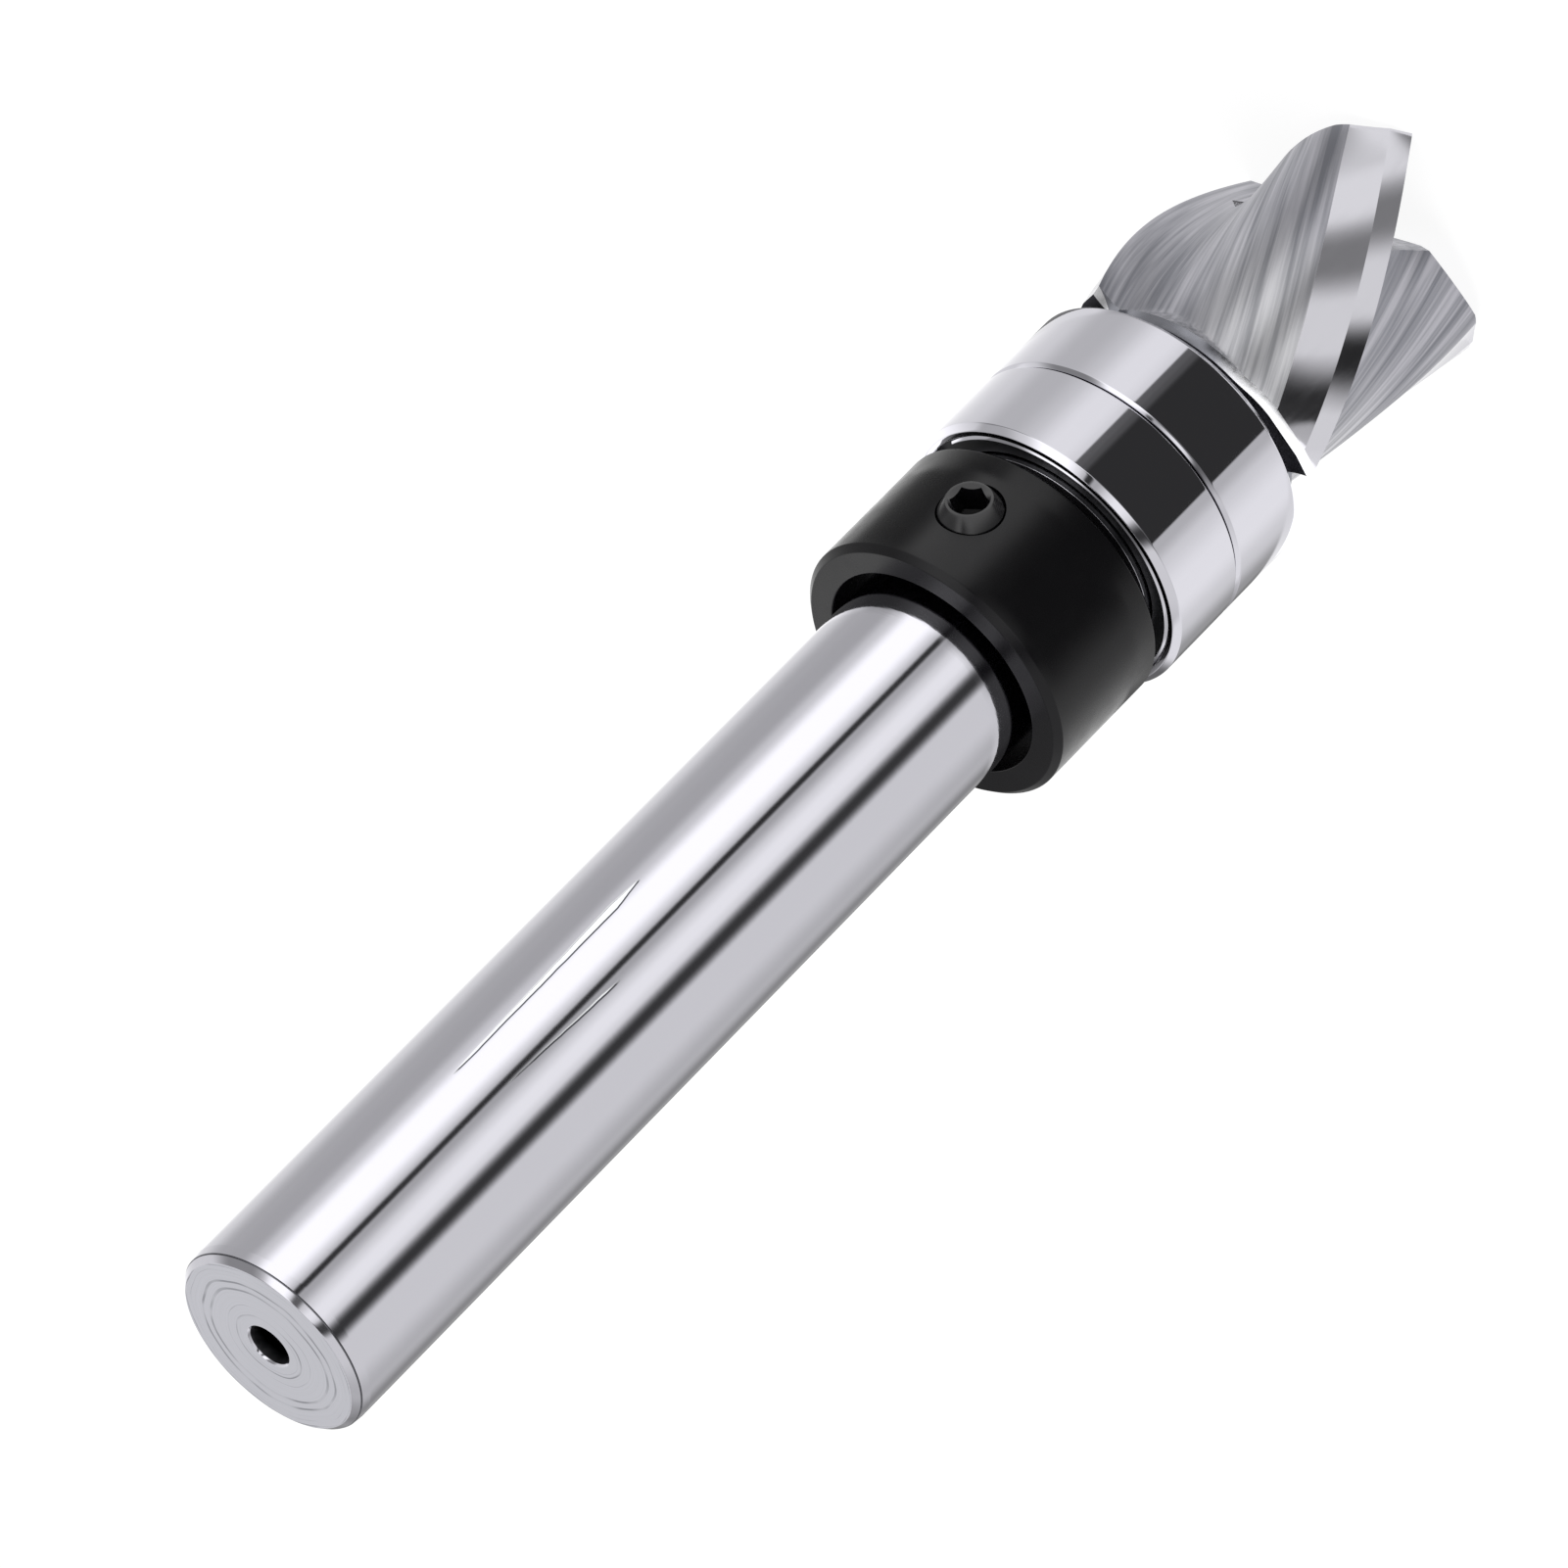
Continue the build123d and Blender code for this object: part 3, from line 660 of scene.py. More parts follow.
def head_tree():
    """Geometry Nodes for the head: the section climbs the axis, turns with the helix, grows
    out to the run-out and the bevel, and the end wedges are cut off at every tooth."""
    tree, given = geometry_tree("Fluted head", "Head", {
        "Geometry": ("Section",), "Int": ("Steps", "Bevel steps", "Flutes"),
        "Float": ("Length", "Bevel height", "Bevel inset share", "Twist per metre", "First corner",
                  "Run-out arc radius", "Run-out centre radius", "Run-out centre height", "Blend"),
        "Object": ("End wedges",),
        "Material": ("Land finish", "Flute finish", "Bevel finish", "Face finish")})
    spacing = 0.1 * MM
    line = add(tree, "GeometryNodeMeshLine", {"Count": given["Steps"], "Offset": (0, 0, spacing)})
    swept = add(tree, "GeometryNodeCurveToMesh", {
        "Curve": add(tree, "GeometryNodeMeshToCurve", {"Mesh": line}),
        "Profile Curve": add(tree, "GeometryNodeMeshToCurve", {"Mesh": given["Section"]}),
        "Fill Caps": True})
    place = add(tree, "GeometryNodeInputPosition")
    x, y, z = add(tree, "ShaderNodeSeparateXYZ", (place,)).outputs
    # height of each step: the last ones for the bevel, all others for the flutes
    last = add(tree, MATH, (given["Steps"], 1), operation="SUBTRACT")
    foot = add(tree, MATH, (last, given["Bevel steps"]), operation="SUBTRACT")
    bevel_z = add(tree, MATH, (given["Length"], given["Bevel height"]), operation="SUBTRACT")
    index = add(tree, MATH, (z, spacing), operation="DIVIDE")
    climb = add(tree, MATH, (index, foot), operation="DIVIDE")
    climb = add(tree, MATH, (climb, 1), operation="MINIMUM")
    climb = add(tree, MATH, (climb, bevel_z), operation="MULTIPLY")
    above = add(tree, MATH, (index, foot), operation="SUBTRACT")
    above = add(tree, MATH, (above, 0), operation="MAXIMUM")
    above = add(tree, MATH, (above, given["Bevel steps"]), operation="DIVIDE")
    lean = add(tree, MATH, (above, given["Bevel inset share"]), operation="MULTIPLY")
    lean = add(tree, MATH, (1, lean), operation="SUBTRACT")
    above = add(tree, MATH, (above, given["Bevel height"]), operation="MULTIPLY")
    height = add(tree, MATH, (climb, above), operation="ADD")
    # run-out: an arc turned round the axis, joined to the flutes with a soft blend
    flat = add(tree, "ShaderNodeCombineXYZ", {0: x, 1: y})
    radius = add(tree, "ShaderNodeVectorMath", (flat,), operation="LENGTH")
    rise = add(tree, MATH, (climb, given["Run-out centre height"]), operation="SUBTRACT")
    rise = add(tree, MATH, (rise, 0), operation="MAXIMUM")
    rise = add(tree, MATH, (rise, rise), operation="MULTIPLY")
    reach = add(tree, MATH, (given["Run-out arc radius"],) * 2, operation="MULTIPLY")
    reach = add(tree, MATH, (reach, rise), operation="SUBTRACT")
    reach = add(tree, MATH, (reach,), operation="SQRT")
    runout = add(tree, MATH, (given["Run-out centre radius"], reach), operation="SUBTRACT")
    grown = add(tree, MATH, (radius, runout, given["Blend"]), operation="SMOOTH_MAX")
    share = add(tree, MATH, (grown, radius), operation="DIVIDE")
    share = add(tree, MATH, (share, lean), operation="MULTIPLY")
    wide = add(tree, "ShaderNodeVectorMath", {0: flat, "Scale": share}, operation="SCALE")
    angle = add(tree, MATH, (climb, given["Twist per metre"]), operation="MULTIPLY")
    angle = add(tree, MATH, (angle, -1), operation="MULTIPLY")
    turn = add(tree, "ShaderNodeVectorRotate", {"Vector": wide, "Angle": angle}, rotation_type="Z_AXIS")
    lift = add(tree, "ShaderNodeCombineXYZ", {2: height})
    spot = add(tree, "ShaderNodeVectorMath", (turn, lift), operation="ADD")
    shaped = add(tree, "GeometryNodeSetPosition", {"Geometry": swept, "Position": spot})

    def stored(name):
        return add(tree, "GeometryNodeInputNamedAttribute", {"Name": name}, data_type="FLOAT")

    def on(domain, value):
        return add(tree, "GeometryNodeFieldOnDomain", (value,), domain=domain, data_type="FLOAT")

    def marked(geometry, name, value):
        return add(tree, "GeometryNodeStoreNamedAttribute",
                   {"Geometry": geometry, "Name": name, "Value": value}, data_type="FLOAT", domain="FACE")

    def more(a, b):
        return add(tree, "FunctionNodeCompare", (a, b), data_type="FLOAT", operation="GREATER_THAN")

    def either(a, b, operation="OR"):
        return add(tree, "FunctionNodeBooleanMath", (a, b), operation=operation)

    # the end wedges at every tooth
    shaped = marked(shaped, "polished", on("FACE", stored("land")))
    tool = add(tree, "GeometryNodeObjectInfo", {"Object": given["End wedges"]}).outputs["Geometry"]
    teeth = add(tree, "GeometryNodePoints", {"Count": given["Flutes"]})
    order = add(tree, "GeometryNodeInputIndex")
    each = add(tree, MATH, (order, given["Flutes"]), operation="DIVIDE")
    each = add(tree, MATH, (each, 2 * pi, given["First corner"]), operation="MULTIPLY_ADD")
    spread = add(tree, "GeometryNodeInstanceOnPoints", {
        "Points": teeth, "Instance": marked(tool, "cut", 1.0),
        "Rotation": add(tree, "ShaderNodeCombineXYZ", {2: each})})
    wedges = add(tree, "GeometryNodeRealizeInstances", (spread,))
    trimmed = add(tree, "GeometryNodeMeshBoolean", {0: shaped, 1: wedges, "Self Intersection": True},
                  operation="DIFFERENCE", solver="EXACT")
    # a mark counts where it is full, and a face is level past this height of its normal
    full, level = 0.99, 0.9
    # crisp lines: where wedges cut, along the lands and round the bevel
    bend = add(tree, "GeometryNodeInputMeshEdgeAngle")
    at_bevel = add(tree, MATH, (z, bevel_z, 0.002 * MM), operation="COMPARE")
    crisp = either(more(on("EDGE", stored("corner")), full), more(on("EDGE", at_bevel), full))
    crisp = either(crisp, either(more(bend, radians(9)), more(on("EDGE", stored("cut")), 0.01), "AND"))
    crisp = either(crisp, either(more(bend, radians(40)), trimmed.outputs["Intersecting Edges"]))
    head = add(tree, "GeometryNodeSetShadeSmooth", {"Geometry": trimmed, "Shade Smooth": True}, domain="FACE")
    head = add(tree, "GeometryNodeSetShadeSmooth", {"Geometry": head, "Selection": crisp,
                                                    "Shade Smooth": False}, domain="EDGE")
    head = add(tree, "GeometryNodeRealizeInstances", (head,))
    high = more(z, add(tree, MATH, (bevel_z, 0.01 * MM), operation="ADD"))
    steep = add(tree, "ShaderNodeSeparateXYZ", (add(tree, "GeometryNodeInputNormal"),)).outputs["Z"]
    for finish, where in (("Flute finish", True), ("Land finish", more(stored("polished"), full)),
                          ("Bevel finish", either(high, more(level, steep), "AND")),
                          ("Face finish", either(high, more(steep, level), "AND"))):
        head = add(tree, "GeometryNodeSetMaterial", {"Geometry": head, "Selection": where,
                                                     "Material": given[finish]})
    add(tree, "NodeGroupOutput", (head,))
    return tree


def run_nodes(piece, tree, values):
    """Puts the tree on the piece with its inputs set by identifier, and makes it plain."""
    step = piece.modifiers.new("Nodes", "NODES")
    step.node_group = tree
    for item in tree.interface.items_tree:
        if item.name in values and item.in_out == "INPUT":
            step[item.identifier] = values[item.name]
    plain(piece)


def ring_of_balls_tree():
    """Geometry Nodes for the balls: one ball repeated on its pitch circle."""
    tree, given = geometry_tree("Ring of balls", "Ring", {
        "Geometry": ("Geometry",), "Int": ("Balls",), "Float": ("Pitch radius", "Ball radius", "Height"),
        "Material": ("Finish",)})
    circle = add(tree, "GeometryNodeMeshCircle", {"Vertices": given["Balls"], "Radius": given["Pitch radius"]})
    up = add(tree, "ShaderNodeCombineXYZ", {2: given["Height"]})
    raised = add(tree, "GeometryNodeSetPosition", {"Geometry": circle, "Offset": up})
    ball = add(tree, "GeometryNodeMeshIcoSphere", {"Radius": given["Ball radius"], "Subdivisions": 4})
    smooth = add(tree, "GeometryNodeSetShadeSmooth", {"Geometry": ball, "Shade Smooth": True})
    spread = add(tree, "GeometryNodeInstanceOnPoints", {"Points": raised, "Instance": smooth})
    whole = add(tree, "GeometryNodeRealizeInstances", (spread,))
    add(tree, "NodeGroupOutput", (add(tree, "GeometryNodeSetMaterial", {"Geometry": whole,
                                                                        "Material": given["Finish"]}),))
    return tree


class ROUTERBIT_OT_head(bpy.types.Operator):
    """Cutting head with three helical flutes"""
    bl_idname = "routerbit.head"
    bl_label = "Cutting head"

    def execute(self, context):
        s = context.scene.router_head
        radius, length, bevel = s.cutting_diameter / 2, s.length, s.bevel
        # arc of the run-out: from the bevel's foot, at this slope, down past the flute's floor
        slope, depth = Vector((-0.75, -0.66)).normalized(), 3.83 * MM
        start = Vector((radius - s.runout_depth, length - bevel))
        foot = Vector((radius - depth, length - bevel - s.runout_length))
        chord, square = foot - start, Vector((-slope.y, slope.x))
        arc = chord.length_squared / (2 * chord.dot(square))
        centre = start + square * arc
        wedges = end_wedges(s)
        piece = in_scene("cutting_head", head_section(s))
        run_nodes(piece, head_tree(), {
            "Steps": 121, "Bevel steps": 4, "Flutes": s.flutes, "Length": length, "Bevel height": bevel,
            "Bevel inset share": s.bevel_inset / radius, "Twist per metre": s.twist,
            "First corner": s.corner, "Run-out arc radius": abs(arc), "Run-out centre radius": centre.x,
            "Run-out centre height": centre.y, "Blend": 0.25 * MM, "End wedges": wedges,
            "Land finish": polished_land_steel(s), "Flute finish": ground_flute_steel(s),
            "Bevel finish": ground_bevel_steel(s), "Face finish": shaded_face_steel()})
        bpy.data.objects.remove(wedges)
        for name in ("land", "corner", "cut", "polished"):
            stored = piece.data.attributes.get(name)
            if stored:
                piece.data.attributes.remove(stored)
        finish_piece(piece, "cutter", "ground_steel", ["cutter_body"])
        return {"FINISHED"}


class ROUTERBIT_OT_shank(bpy.types.Operator):
    """Shank with its shoulder, set screw groove, end chamfer and lathe centre"""
    bl_idname = "routerbit.shank"
    bl_label = "Shank"

    def execute(self, context):
        s = context.scene.router_shank
        r, e, hole, drill = s.diameter / MM / 2, s.edge / MM, s.centre_hole / MM / 2, 0.95
        top = SHANK_END / MM
        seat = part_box("spacer")[1].x / MM
        shoulder = height_of("bearing_2_inner_ring")[0]
        screw = sum(height_of("set_screw")) / 2
        root = shoulder - 1.5                       # inside the head
        low, high, neck = screw - 2.9, screw + 2.9, r - 0.2    # groove under the set screw
        mouth, bottom = top - 1.3, top - 3.6        # where the lathe centre narrows, and its drill's end
        piece = turned("shank", [
            (0, root, 0), (seat, root, 0), (seat, shoulder, e), (r, shoulder, 0),
            (r, low, 0), (neck, low, 0), (neck, high, 0), (r, high, 0), (r, top - 1.05, 0.12),
            # the fine line between the taper and the end chamfer
            (r - 0.065, top - 0.45, 0), (r - 0.13, top - 0.43, 0), (r - 0.15, top - 0.36, 0),
            (r - 0.12, top - 0.35, 0), (r - 0.47, top, 0.05), (hole + 0.12, top, 0.04),
            (hole, top - 0.12, 0.04), (hole, mouth, 0.05), (drill, mouth - (hole - drill), 0.05),
            (drill, bottom, 0), (0, bottom - drill * tan(radians(30)), 0)], segments=256)
        finish_piece(piece, "cutter", "ground_steel", ["cutter_body"],
                     polished_shank_steel(s), turned_end_steel(s), drilled_hole_steel())
        # the end face, and then the wall of the lathe centre and the fine line, which carry the painted shade
        for face in piece.data.polygons:
            below, out = top - face.center.z / MM, face.center.xy.length / MM
            if face.normal.z > 0.95 and below < 0.02:
                face.material_index = 1
            elif (out < hole + 0.001 and below < 13) or (out > 5 and 0.35 < below < 0.45):
                face.material_index = 2
        return {"FINISHED"}


class ROUTERBIT_OT_collar(bpy.types.Operator):
    """Stop collar with its counterbore and tapped hole, and the spacer below it"""
    bl_idname = "routerbit.collar"
    bl_label = "Collar and spacer"

    def execute(self, context):
        s = context.scene.router_collar
        e, c = s.edge / MM, s.chamfer / MM
        low, high = height_of("stop_collar")
        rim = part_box("stop_collar")[1].x / MM
        bore, recess, floor, tapped = 6.37, 7.175, high - 2.3, 2.05
        black = black_oxide_steel("black_oxide_satin", s, roughness=0.27)
        collar = turned("stop_collar", [
            (bore, low, e / 2), (rim - c, low, e), (rim, low + c, e), (rim, high - c, e), (rim - c, high, e),
            (recess, high, e), (recess, floor, 0), (bore, floor, 0)], segments=256)
        hole = turned("hole", [(0, 0, 0), (tapped, 0, 0), (tapped, 12, 0), (0, 12, 0)], segments=96)
        hole.data.transform(screw_place())
        cut(collar, hole)
        finish_piece(collar, "cutter", "black_oxide", ["stop_collar"], black)
        low, high = height_of("spacer")
        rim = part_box("spacer")[1].x / MM
        spacer = turned("spacer", [(BORE, low, 0.03), (rim, low, e / 2), (rim, high, e / 2),
                                   (BORE, high, 0.03)])
        finish_piece(spacer, "cutter", "spacer_steel", ["spacer"],
                     black_oxide_steel("black_oxide_spacer", s, roughness=0.4))
        return {"FINISHED"}


def screw_place():
    """Where the set screw stands: its own +Z points out of the collar."""
    way, up = Vector((cos(SCREW_ANGLE), sin(SCREW_ANGLE), 0)), Vector((0, 0, 1))
    turn = Matrix((up, way.cross(up), way)).transposed().to_4x4()
    return Matrix.Translation((0, 0, sum(height_of("set_screw")) / 2 * MM)) @ turn


class ROUTERBIT_OT_screw(bpy.types.Operator):
    """Set screw with a tapered outer end and a hexagon socket"""
    bl_idname = "routerbit.screw"
    bl_label = "Set screw"

    def execute(self, context):
        s = context.scene.router_collar
        start, end, side = 6.17, 9.9, 1.95          # distances from the tool's axis, and the screw's radius
        screw = turned("set_screw", [(0, start, 0), (side - 0.35, start, 0.05), (side, start + 0.33, 0.05),
                                     (side, end - 0.95, 0.05), (1.39, end, 0.06), (0, end, 0)],
                       segments=96, guard=0.04)
        # the socket: a hexagonal pocket with a shallow drill point, and a countersunk mouth
        corner = s.socket / MM / 2 / cos(pi / 6)
        mesh = bmesh.new()
        rings = [[mesh.verts.new((corner * share * MM * cos(pi / 3 * k), corner * share * MM * sin(pi / 3 * k),
                                  z * MM)) for k in range(6)]
                 for z, share in ((end - 2.1, 0.05), (end - 1.9, 1.0), (end + 0.2, 1.0))]
        for a, b in zip(rings, rings[1:]):
            for k in range(6):
                mesh.faces.new((a[k], a[(k + 1) % 6], b[(k + 1) % 6], b[k]))
        mesh.faces.new(rings[0][::-1])
        mesh.faces.new(rings[-1])
        bmesh.ops.recalc_face_normals(mesh, faces=mesh.faces)
        mouth = turned("mouth", [(0, end - 0.4, 0), (0.85, end - 0.4, 0), (1.3, end + 0.05, 0),
                                 (0, end + 0.05, 0)], segments=96)
        cut(screw, as_object("socket", mesh), mouth)
        screw.data.transform(screw_place())
        finish_piece(screw, "cutter", "black_oxide_screw", ["set_screw"],
                     black_oxide_steel("black_oxide_screw_steel", s, roughness=0.2, sheen=0.55))
        return {"FINISHED"}


def ball_race(middle, height, side):
    """Points of a ball race from where it leaves one land to the other, upwards on the
    inner ring (side -1) and downwards on the outer ring (side 1)."""
    reach = side * np.arcsin(height / RACE)
    return [(PITCH + side * RACE * cos(a), middle + RACE * sin(a), 0) for a in np.linspace(1, -1, 13) * reach]


class ROUTERBIT_OT_bearings(bpy.types.Operator):
    """Rings, shields and snap rings of the two guide bearings"""
    bl_idname = "routerbit.bearings"
    bl_label = "Bearing rings and shields"

    def execute(self, context):
        s = context.scene.router_bearing
        steel, shield_finish = superfinished_ring_steel(s), dark_shield_steel(s)
        e, c, joint = s.edge / MM, s.chamfer / MM, s.joint_chamfer / MM
        for number in (1, 2):
            name, turning = f"bearing_{number}_", f"bearing_{number}_outer"
            low, high = height_of(name + "inner_ring")
            mid = (low + high) / 2
            # radii of the lands beside the races, and half heights where the races meet them
            inner_land, outer_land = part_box(name + "inner_ring")[1].x / MM, PITCH + RACE - 0.26
            inner_half, outer_half = (sqrt(RACE ** 2 - (PITCH - land) ** 2)
                                      for land in (inner_land, outer_land))
            inner = turned(name + "inner_race", [
                (BORE, low, 0.05), (inner_land, low, 0.05), *ball_race(mid, inner_half, -1),
                (inner_land, high, 0.05), (BORE, high, 0.05)])
            finish_piece(inner, "cutter", "bearing_steel", [name + "inner_ring"], steel)
            foot, head = height_of(name + "outer_ring")
            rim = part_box(name + "outer_ring")[1].x / MM
            # the two rings meet in a finer groove than their outer chamfers
            under, over = (joint, c) if number == 1 else (c, joint)
            # from a face inwards: the seat, the slot of the snap ring and the shield's step
            step = [(SEAT, 0), (SEAT, SLOT_TOP), (SLOT, SLOT_TOP), (SLOT, SHIELD_TOP), (SEAT, SHIELD_TOP),
                    (SEAT, SHIELD_FOOT), (outer_land, SHIELD_FOOT)]
            outer = turned(name + "outer_race", [
                (rim - under, foot, e), (rim, foot + under, e), (rim, head - over, e), (rim - over, head, e),
                *((r, head - depth, 0 if depth else e / 2) for r, depth in step),
                *ball_race(mid, outer_half, 1),
                *((r, foot + depth, 0 if depth else e / 2) for r, depth in reversed(step))], segments=256)
            finish_piece(outer, turning, "bearing_steel", [name + "outer_ring"], steel)
            for side, face, way in (("upper", head, -1), ("lower", foot, 1)):
                near, far, gap = face + way * SHIELD_TOP, face + way * SHIELD_FOOT, inner_land + 0.10
                shield = turned(f"{name}shield_plate_{side}", [
                    (gap, near, 0.06), (SEAT, near, 0.02), (SEAT, far, 0.02), (gap, far, 0.06)], guard=0.03)
                finish_piece(shield, turning, "shield_steel", [f"{name}shield_{side}"], shield_finish)
                # its crowned back stands level with the ring and catches the light
                snap = turned(f"{name}retaining_ring_{side}", [
                    (8.49, near, 0.03), (8.49, face + way * 0.06, 0.05), (8.56, face - way * 0.025, 0.04),
                    (8.79, face + way * 0.15, 0.02), (SLOT, face + way * 0.15, 0.02), (SLOT, near, 0.02)],
                    guard=0.03, opening=12)
                finish_piece(snap, turning, "bearing_steel", [f"{name}snap_ring_{side}"], steel)
        return {"FINISHED"}


class ROUTERBIT_OT_balls(bpy.types.Operator):
    """Balls on their pitch circle, and the finish of the cages"""
    bl_idname = "routerbit.balls"
    bl_label = "Balls and cages"

    def execute(self, context):
        s = context.scene.router_bearing
        steel, pressed = bpy.data.materials["superfinished_ring_steel"], pressed_cage_steel()
        tree = ring_of_balls_tree()
        for number in (1, 2):
            name = f"bearing_{number}_"
            low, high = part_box(name + "balls")
            radius = (high.z - low.z) / 2
            piece = in_scene(name + "ball_set", bpy.data.meshes.new(name + "ball_set"))
            run_nodes(piece, tree, {"Balls": s.balls, "Pitch radius": high.x - radius, "Ball radius": radius,
                                    "Height": (low.z + high.z) / 2, "Finish": steel})
            finish_piece(piece, f"bearing_{number}_cage", "ball_steel", [name + "balls"])
            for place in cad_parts[name + "cage"].material_slots:
                place.material = pressed
        return {"FINISHED"}


# The cards that stand round the tool in the studio, in bands of height: the level between
# them, then each card's azimuth, half width, softness of its edge and level, in degrees
# and sRGB grey.  The back cards of the head are the same in both of its bands.
HEAD_CARDS = [(282, 3, 11, 117), (304, 6, 8, 214), (330, 8, 16, 152)]
CARDS = {
    "head": (205, [(243, 2, 10, 38)] + HEAD_CARDS),
    "neck": (205, [(240, 2.5, 9.5, 44)] + HEAD_CARDS),
    "bevel": (105, [(225, 50, 35, 255)]),
    "bearings": (195, [(149, 3, 27, 136), (203, 5, 22, 219), (234, 1, 8, 170), (264.5, 27.5, 0.8, 43),
                       (288, 1, 3.2, 75), (304, 3, 14, 217), (338, 4, 20, 173), (56, 4, 56, 222),
                       (122, 14, 16, 100)]),
    "collar": (190, [(256, 12, 24, 92), (178, 12, 24, 214), (301, 9, 13, 255), (335, 8, 14, 120),
                     (45, 20, 36, 255), (128, 20, 14, 92)]),
    "shank": (198, [(168, 4, 30, 172), (143, 2, 22, 126), (239.5, 1, 10.5, 52), (260, 2, 12, 227),
                    (281, 2, 9, 160), (284, 0.8, 2.8, 45), (308, 7, 14, 255), (0, 4, 30, 163),
                    (346, 4, 14, 160), (70, 4, 30, 226), (110, 12, 18, 120)]),
    "above": (198, [(168, 4, 30, 172), (143, 2, 22, 126), (239.5, 2, 10.5, 60), (260, 2, 12, 227),
                    (283, 2, 8, 90), (308, 7, 14, 255), (350, 10, 20, 130), (90, 30, 40, 208)]),
}
# Sleeves of cards: rings of (band, radius, height, cover) from below to above, in
# millimetres.  The first sleeve is closed at the bottom, just over the floor.
SLEEVES = (
    [("head", radius, 0.04, 1) for radius in (9.9, 16.0)] + [(band, 16.0, z, 1) for band, z in (
        ("head", 0.2), ("head", 12), ("neck", 15.2), ("neck", 16.1), ("bearings", 16.5), ("bearings", 28.8),
        ("collar", 29.4), ("collar", 36.2), ("shank", 36.9), ("shank", 104), ("above", 106), ("above", 150))],
    [("collar", 10.3, 34.5, 1), ("collar", 10.3, 41.2, 1), ("collar", 10.3, 42.7, 0)],
    [("bevel", 10.7, 18.5, 1), ("bevel", 10.7, 19.8, 1)],
)
# Share of a card's light that polished steel mirrors, so a card shines this much brighter
# than the grey that it is to show there.
MIRRORED = 0.63
# The camera's place, and what it has on its right, above it and behind it.
CAMERA_PLACE = (0, -0.62903, 0.40958)
CAMERA_WAYS = ((-0.71247, -0.34315, -0.61207), (0.70170, -0.35107, -0.61997),
               (-0.00214, -0.87120, 0.49092))


def card_level(band, azimuth):
    """Linear brightness of the cards of a band at an azimuth in degrees."""
    level, cards = CARDS[band]
    for centre, half, soft, grey in cards:
        off = abs((azimuth - centre + 180) % 360 - 180)
        cover = min(1.0, max(0.0, (half + soft - off) / soft))
        cover = cover * cover * (3 - 2 * cover)
        level += (grey - level) * cover
    return linear("#%02X%02X%02X" % ((round(level),) * 3))[0] / MIRRORED


def seen_or_mirrored(tree):
    """1 for rays that see a thing, mirror it or pass to it, 0 for those that light by it."""
    rays = add(tree, "ShaderNodeLightPath").outputs
    seen = add(tree, MATH, (rays["Is Camera Ray"], rays["Is Glossy Ray"]), operation="MAXIMUM")
    return add(tree, MATH, (seen, rays["Is Transmission Ray"]), operation="MAXIMUM")


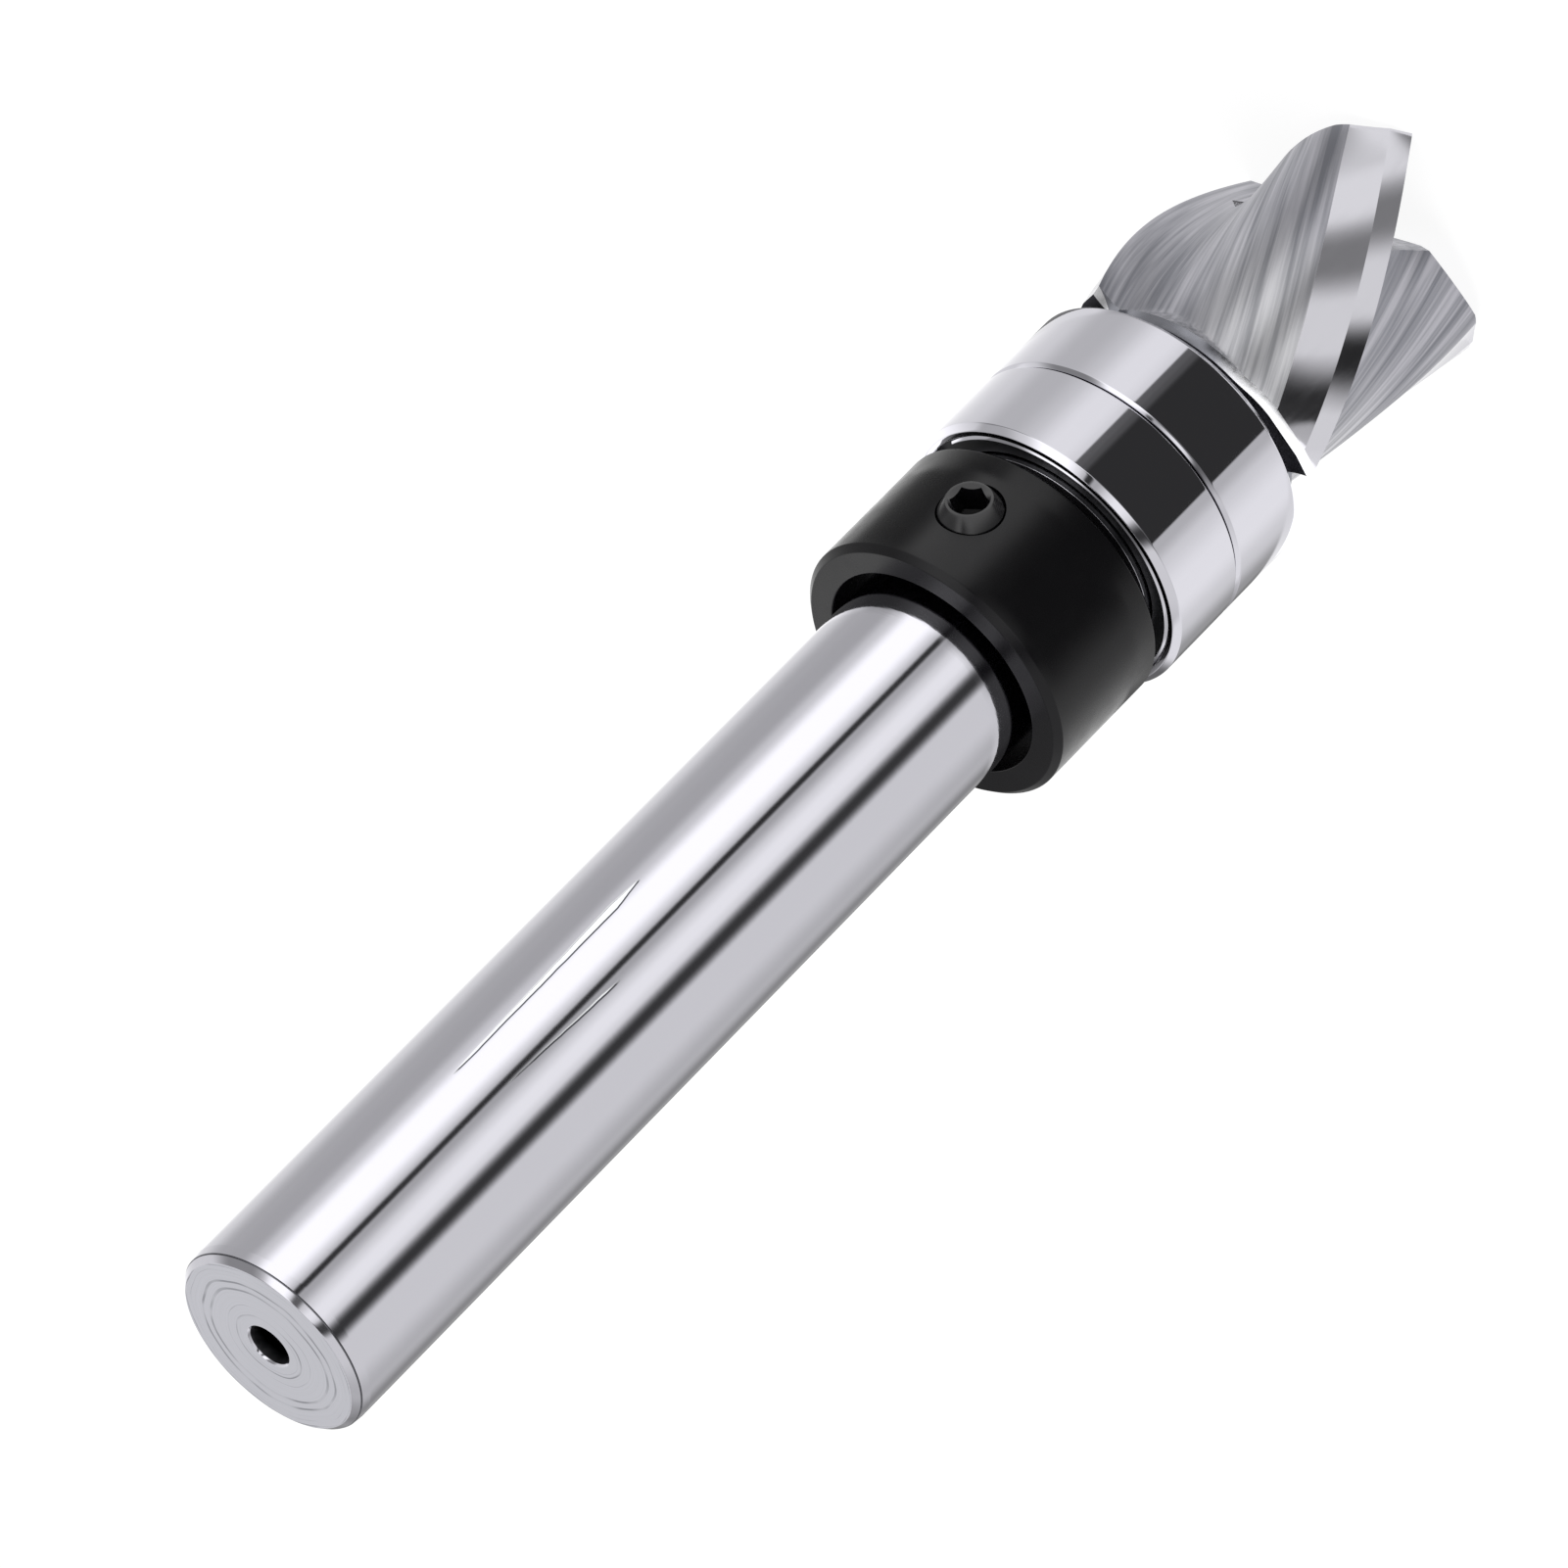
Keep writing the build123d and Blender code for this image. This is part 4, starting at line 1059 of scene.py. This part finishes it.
class ROUTERBIT_OT_stage(bpy.types.Operator):
    """Floor, cards, lamps, world and camera"""
    bl_idname = "routerbit.stage"
    bl_label = "Studio"

    def execute(self, context):
        s, scene = context.scene.router_stage, context.scene
        mesh = bmesh.new()
        bmesh.ops.create_circle(mesh, cap_ends=True, segments=64, radius=6)
        floor = as_object("floor", mesh)
        # white for whatever sees or mirrors it, and grey for the light it throws back
        matt, tree, shader = shader_of("pale_paper_floor")
        glow = add(tree, MATH, (seen_or_mirrored(tree), 0.9), operation="MULTIPLY")
        feed(shader, {"Base Color": rgba(s.floor), "Roughness": 1.0, "Specular IOR Level": 0.0,
                      "Emission Color": (1, 1, 1, 1), "Emission Strength": glow})
        floor.data.materials.append(matt)
        self.cards()
        self.light(scene)
        camera = in_scene("camera", bpy.data.cameras.new("camera"))
        turn = Matrix(CAMERA_WAYS).transposed().to_4x4()
        camera.matrix_world = Matrix.Translation(CAMERA_PLACE) @ turn
        camera.data.lens, camera.data.sensor_width = s.lens, 36
        camera.data.clip_start, camera.data.clip_end = 0.05, 20
        scene.camera = camera
        return {"FINISHED"}

    def cards(self):
        """Sleeves of cards round the tool that only its reflections see."""
        mesh = bmesh.new()
        level, cover = (mesh.verts.layers.float.new(name) for name in ("level", "cover"))
        columns = 720
        for rings in SLEEVES:
            rows = []
            for band, radius, z, full in rings:
                row = []
                for k in range(columns):
                    turn = radians(360 * k / columns)
                    vertex = mesh.verts.new((radius * MM * cos(turn), radius * MM * sin(turn), z * MM))
                    vertex[level], vertex[cover] = card_level(band, degrees(turn)), full
                    row.append(vertex)
                rows.append(row)
            for a, b in zip(rows, rows[1:]):
                for k in range(columns):
                    m = (k + 1) % columns
                    mesh.faces.new((a[k], b[k], b[m], a[m]))
        cards = in_scene("cards", as_data("cards", mesh))
        material, tree, shader = shader_of("studio_cards")
        tree.nodes.remove(shader)
        grey, full = (add(tree, "ShaderNodeAttribute", attribute_name=name).outputs["Fac"]
                      for name in ("level", "cover"))
        both = add(tree, "ShaderNodeMixShader", {0: full, 1: add(tree, "ShaderNodeBsdfTransparent"),
                                                 2: add(tree, "ShaderNodeEmission", {"Strength": grey})})
        feed(tree.nodes["Material Output"], {"Surface": both})
        cards.data.materials.append(material)
        cards.visible_camera = cards.visible_diffuse = cards.visible_shadow = False
        cards.visible_transmission = cards.visible_volume_scatter = False

    def light(self, scene):
        """White world for what is seen and mirrored, a softer one for what it lights, and
        one large lamp that gives the floor a shadow."""
        world = bpy.data.worlds.new("studio")
        world.use_nodes = True
        scene.world = world
        tree = world.node_tree
        strength = add(tree, RANGE, (seen_or_mirrored(tree), 0, 1, 0.5, 1.0))
        feed(tree.nodes["Background"], {"Color": (1, 1, 1, 1), "Strength": strength})
        box = in_scene("softbox", bpy.data.lights.new("softbox", "AREA"))
        box.data.shape, box.data.size, box.data.energy = "DISK", 0.9, 6.0
        box.location = (-0.35, -0.15, 1.1)
        aim = Vector((0, 0, 0.04)) - box.location
        box.rotation_euler = aim.to_track_quat("-Z", "Y").to_euler()
        box.visible_glossy = box.visible_camera = False
        scene.view_settings.view_transform = "Standard"


OPERATORS = (ROUTERBIT_OT_stage, ROUTERBIT_OT_head, ROUTERBIT_OT_shank, ROUTERBIT_OT_collar,
             ROUTERBIT_OT_screw, ROUTERBIT_OT_bearings, ROUTERBIT_OT_balls)
SETTINGS = {"router_head": HeadSettings, "router_shank": ShankSettings, "router_collar": CollarSettings,
            "router_bearing": BearingSettings, "router_stage": StageSettings}


class ROUTERBIT_PT_panel(bpy.types.Panel):
    """Builds the router bit piece by piece"""
    bl_idname = "ROUTERBIT_PT_panel"
    bl_label = "Router bit"
    bl_space_type = "VIEW_3D"
    bl_region_type = "UI"
    bl_category = "Router bit"

    def draw(self, context):
        for name, group in SETTINGS.items():
            box = self.layout.box()
            for field in group.__annotations__:
                box.prop(getattr(context.scene, name), field)
        for operator in OPERATORS:
            self.layout.operator(operator.bl_idname)


def register():
    for name, group in SETTINGS.items():
        bpy.utils.register_class(group)
        setattr(bpy.types.Scene, name, bpy.props.PointerProperty(type=group))
    for operator in OPERATORS:
        bpy.utils.register_class(operator)
    bpy.utils.register_class(ROUTERBIT_PT_panel)


def unregister():
    bpy.utils.unregister_class(ROUTERBIT_PT_panel)
    for operator in reversed(OPERATORS):
        bpy.utils.unregister_class(operator)
    for name, group in SETTINGS.items():
        delattr(bpy.types.Scene, name)
        bpy.utils.unregister_class(group)


def main():
    register()
    for operator in OPERATORS:
        group, name = operator.bl_idname.split(".")
        getattr(getattr(bpy.ops, group), name)()


if __name__ == "__main__":
    main()
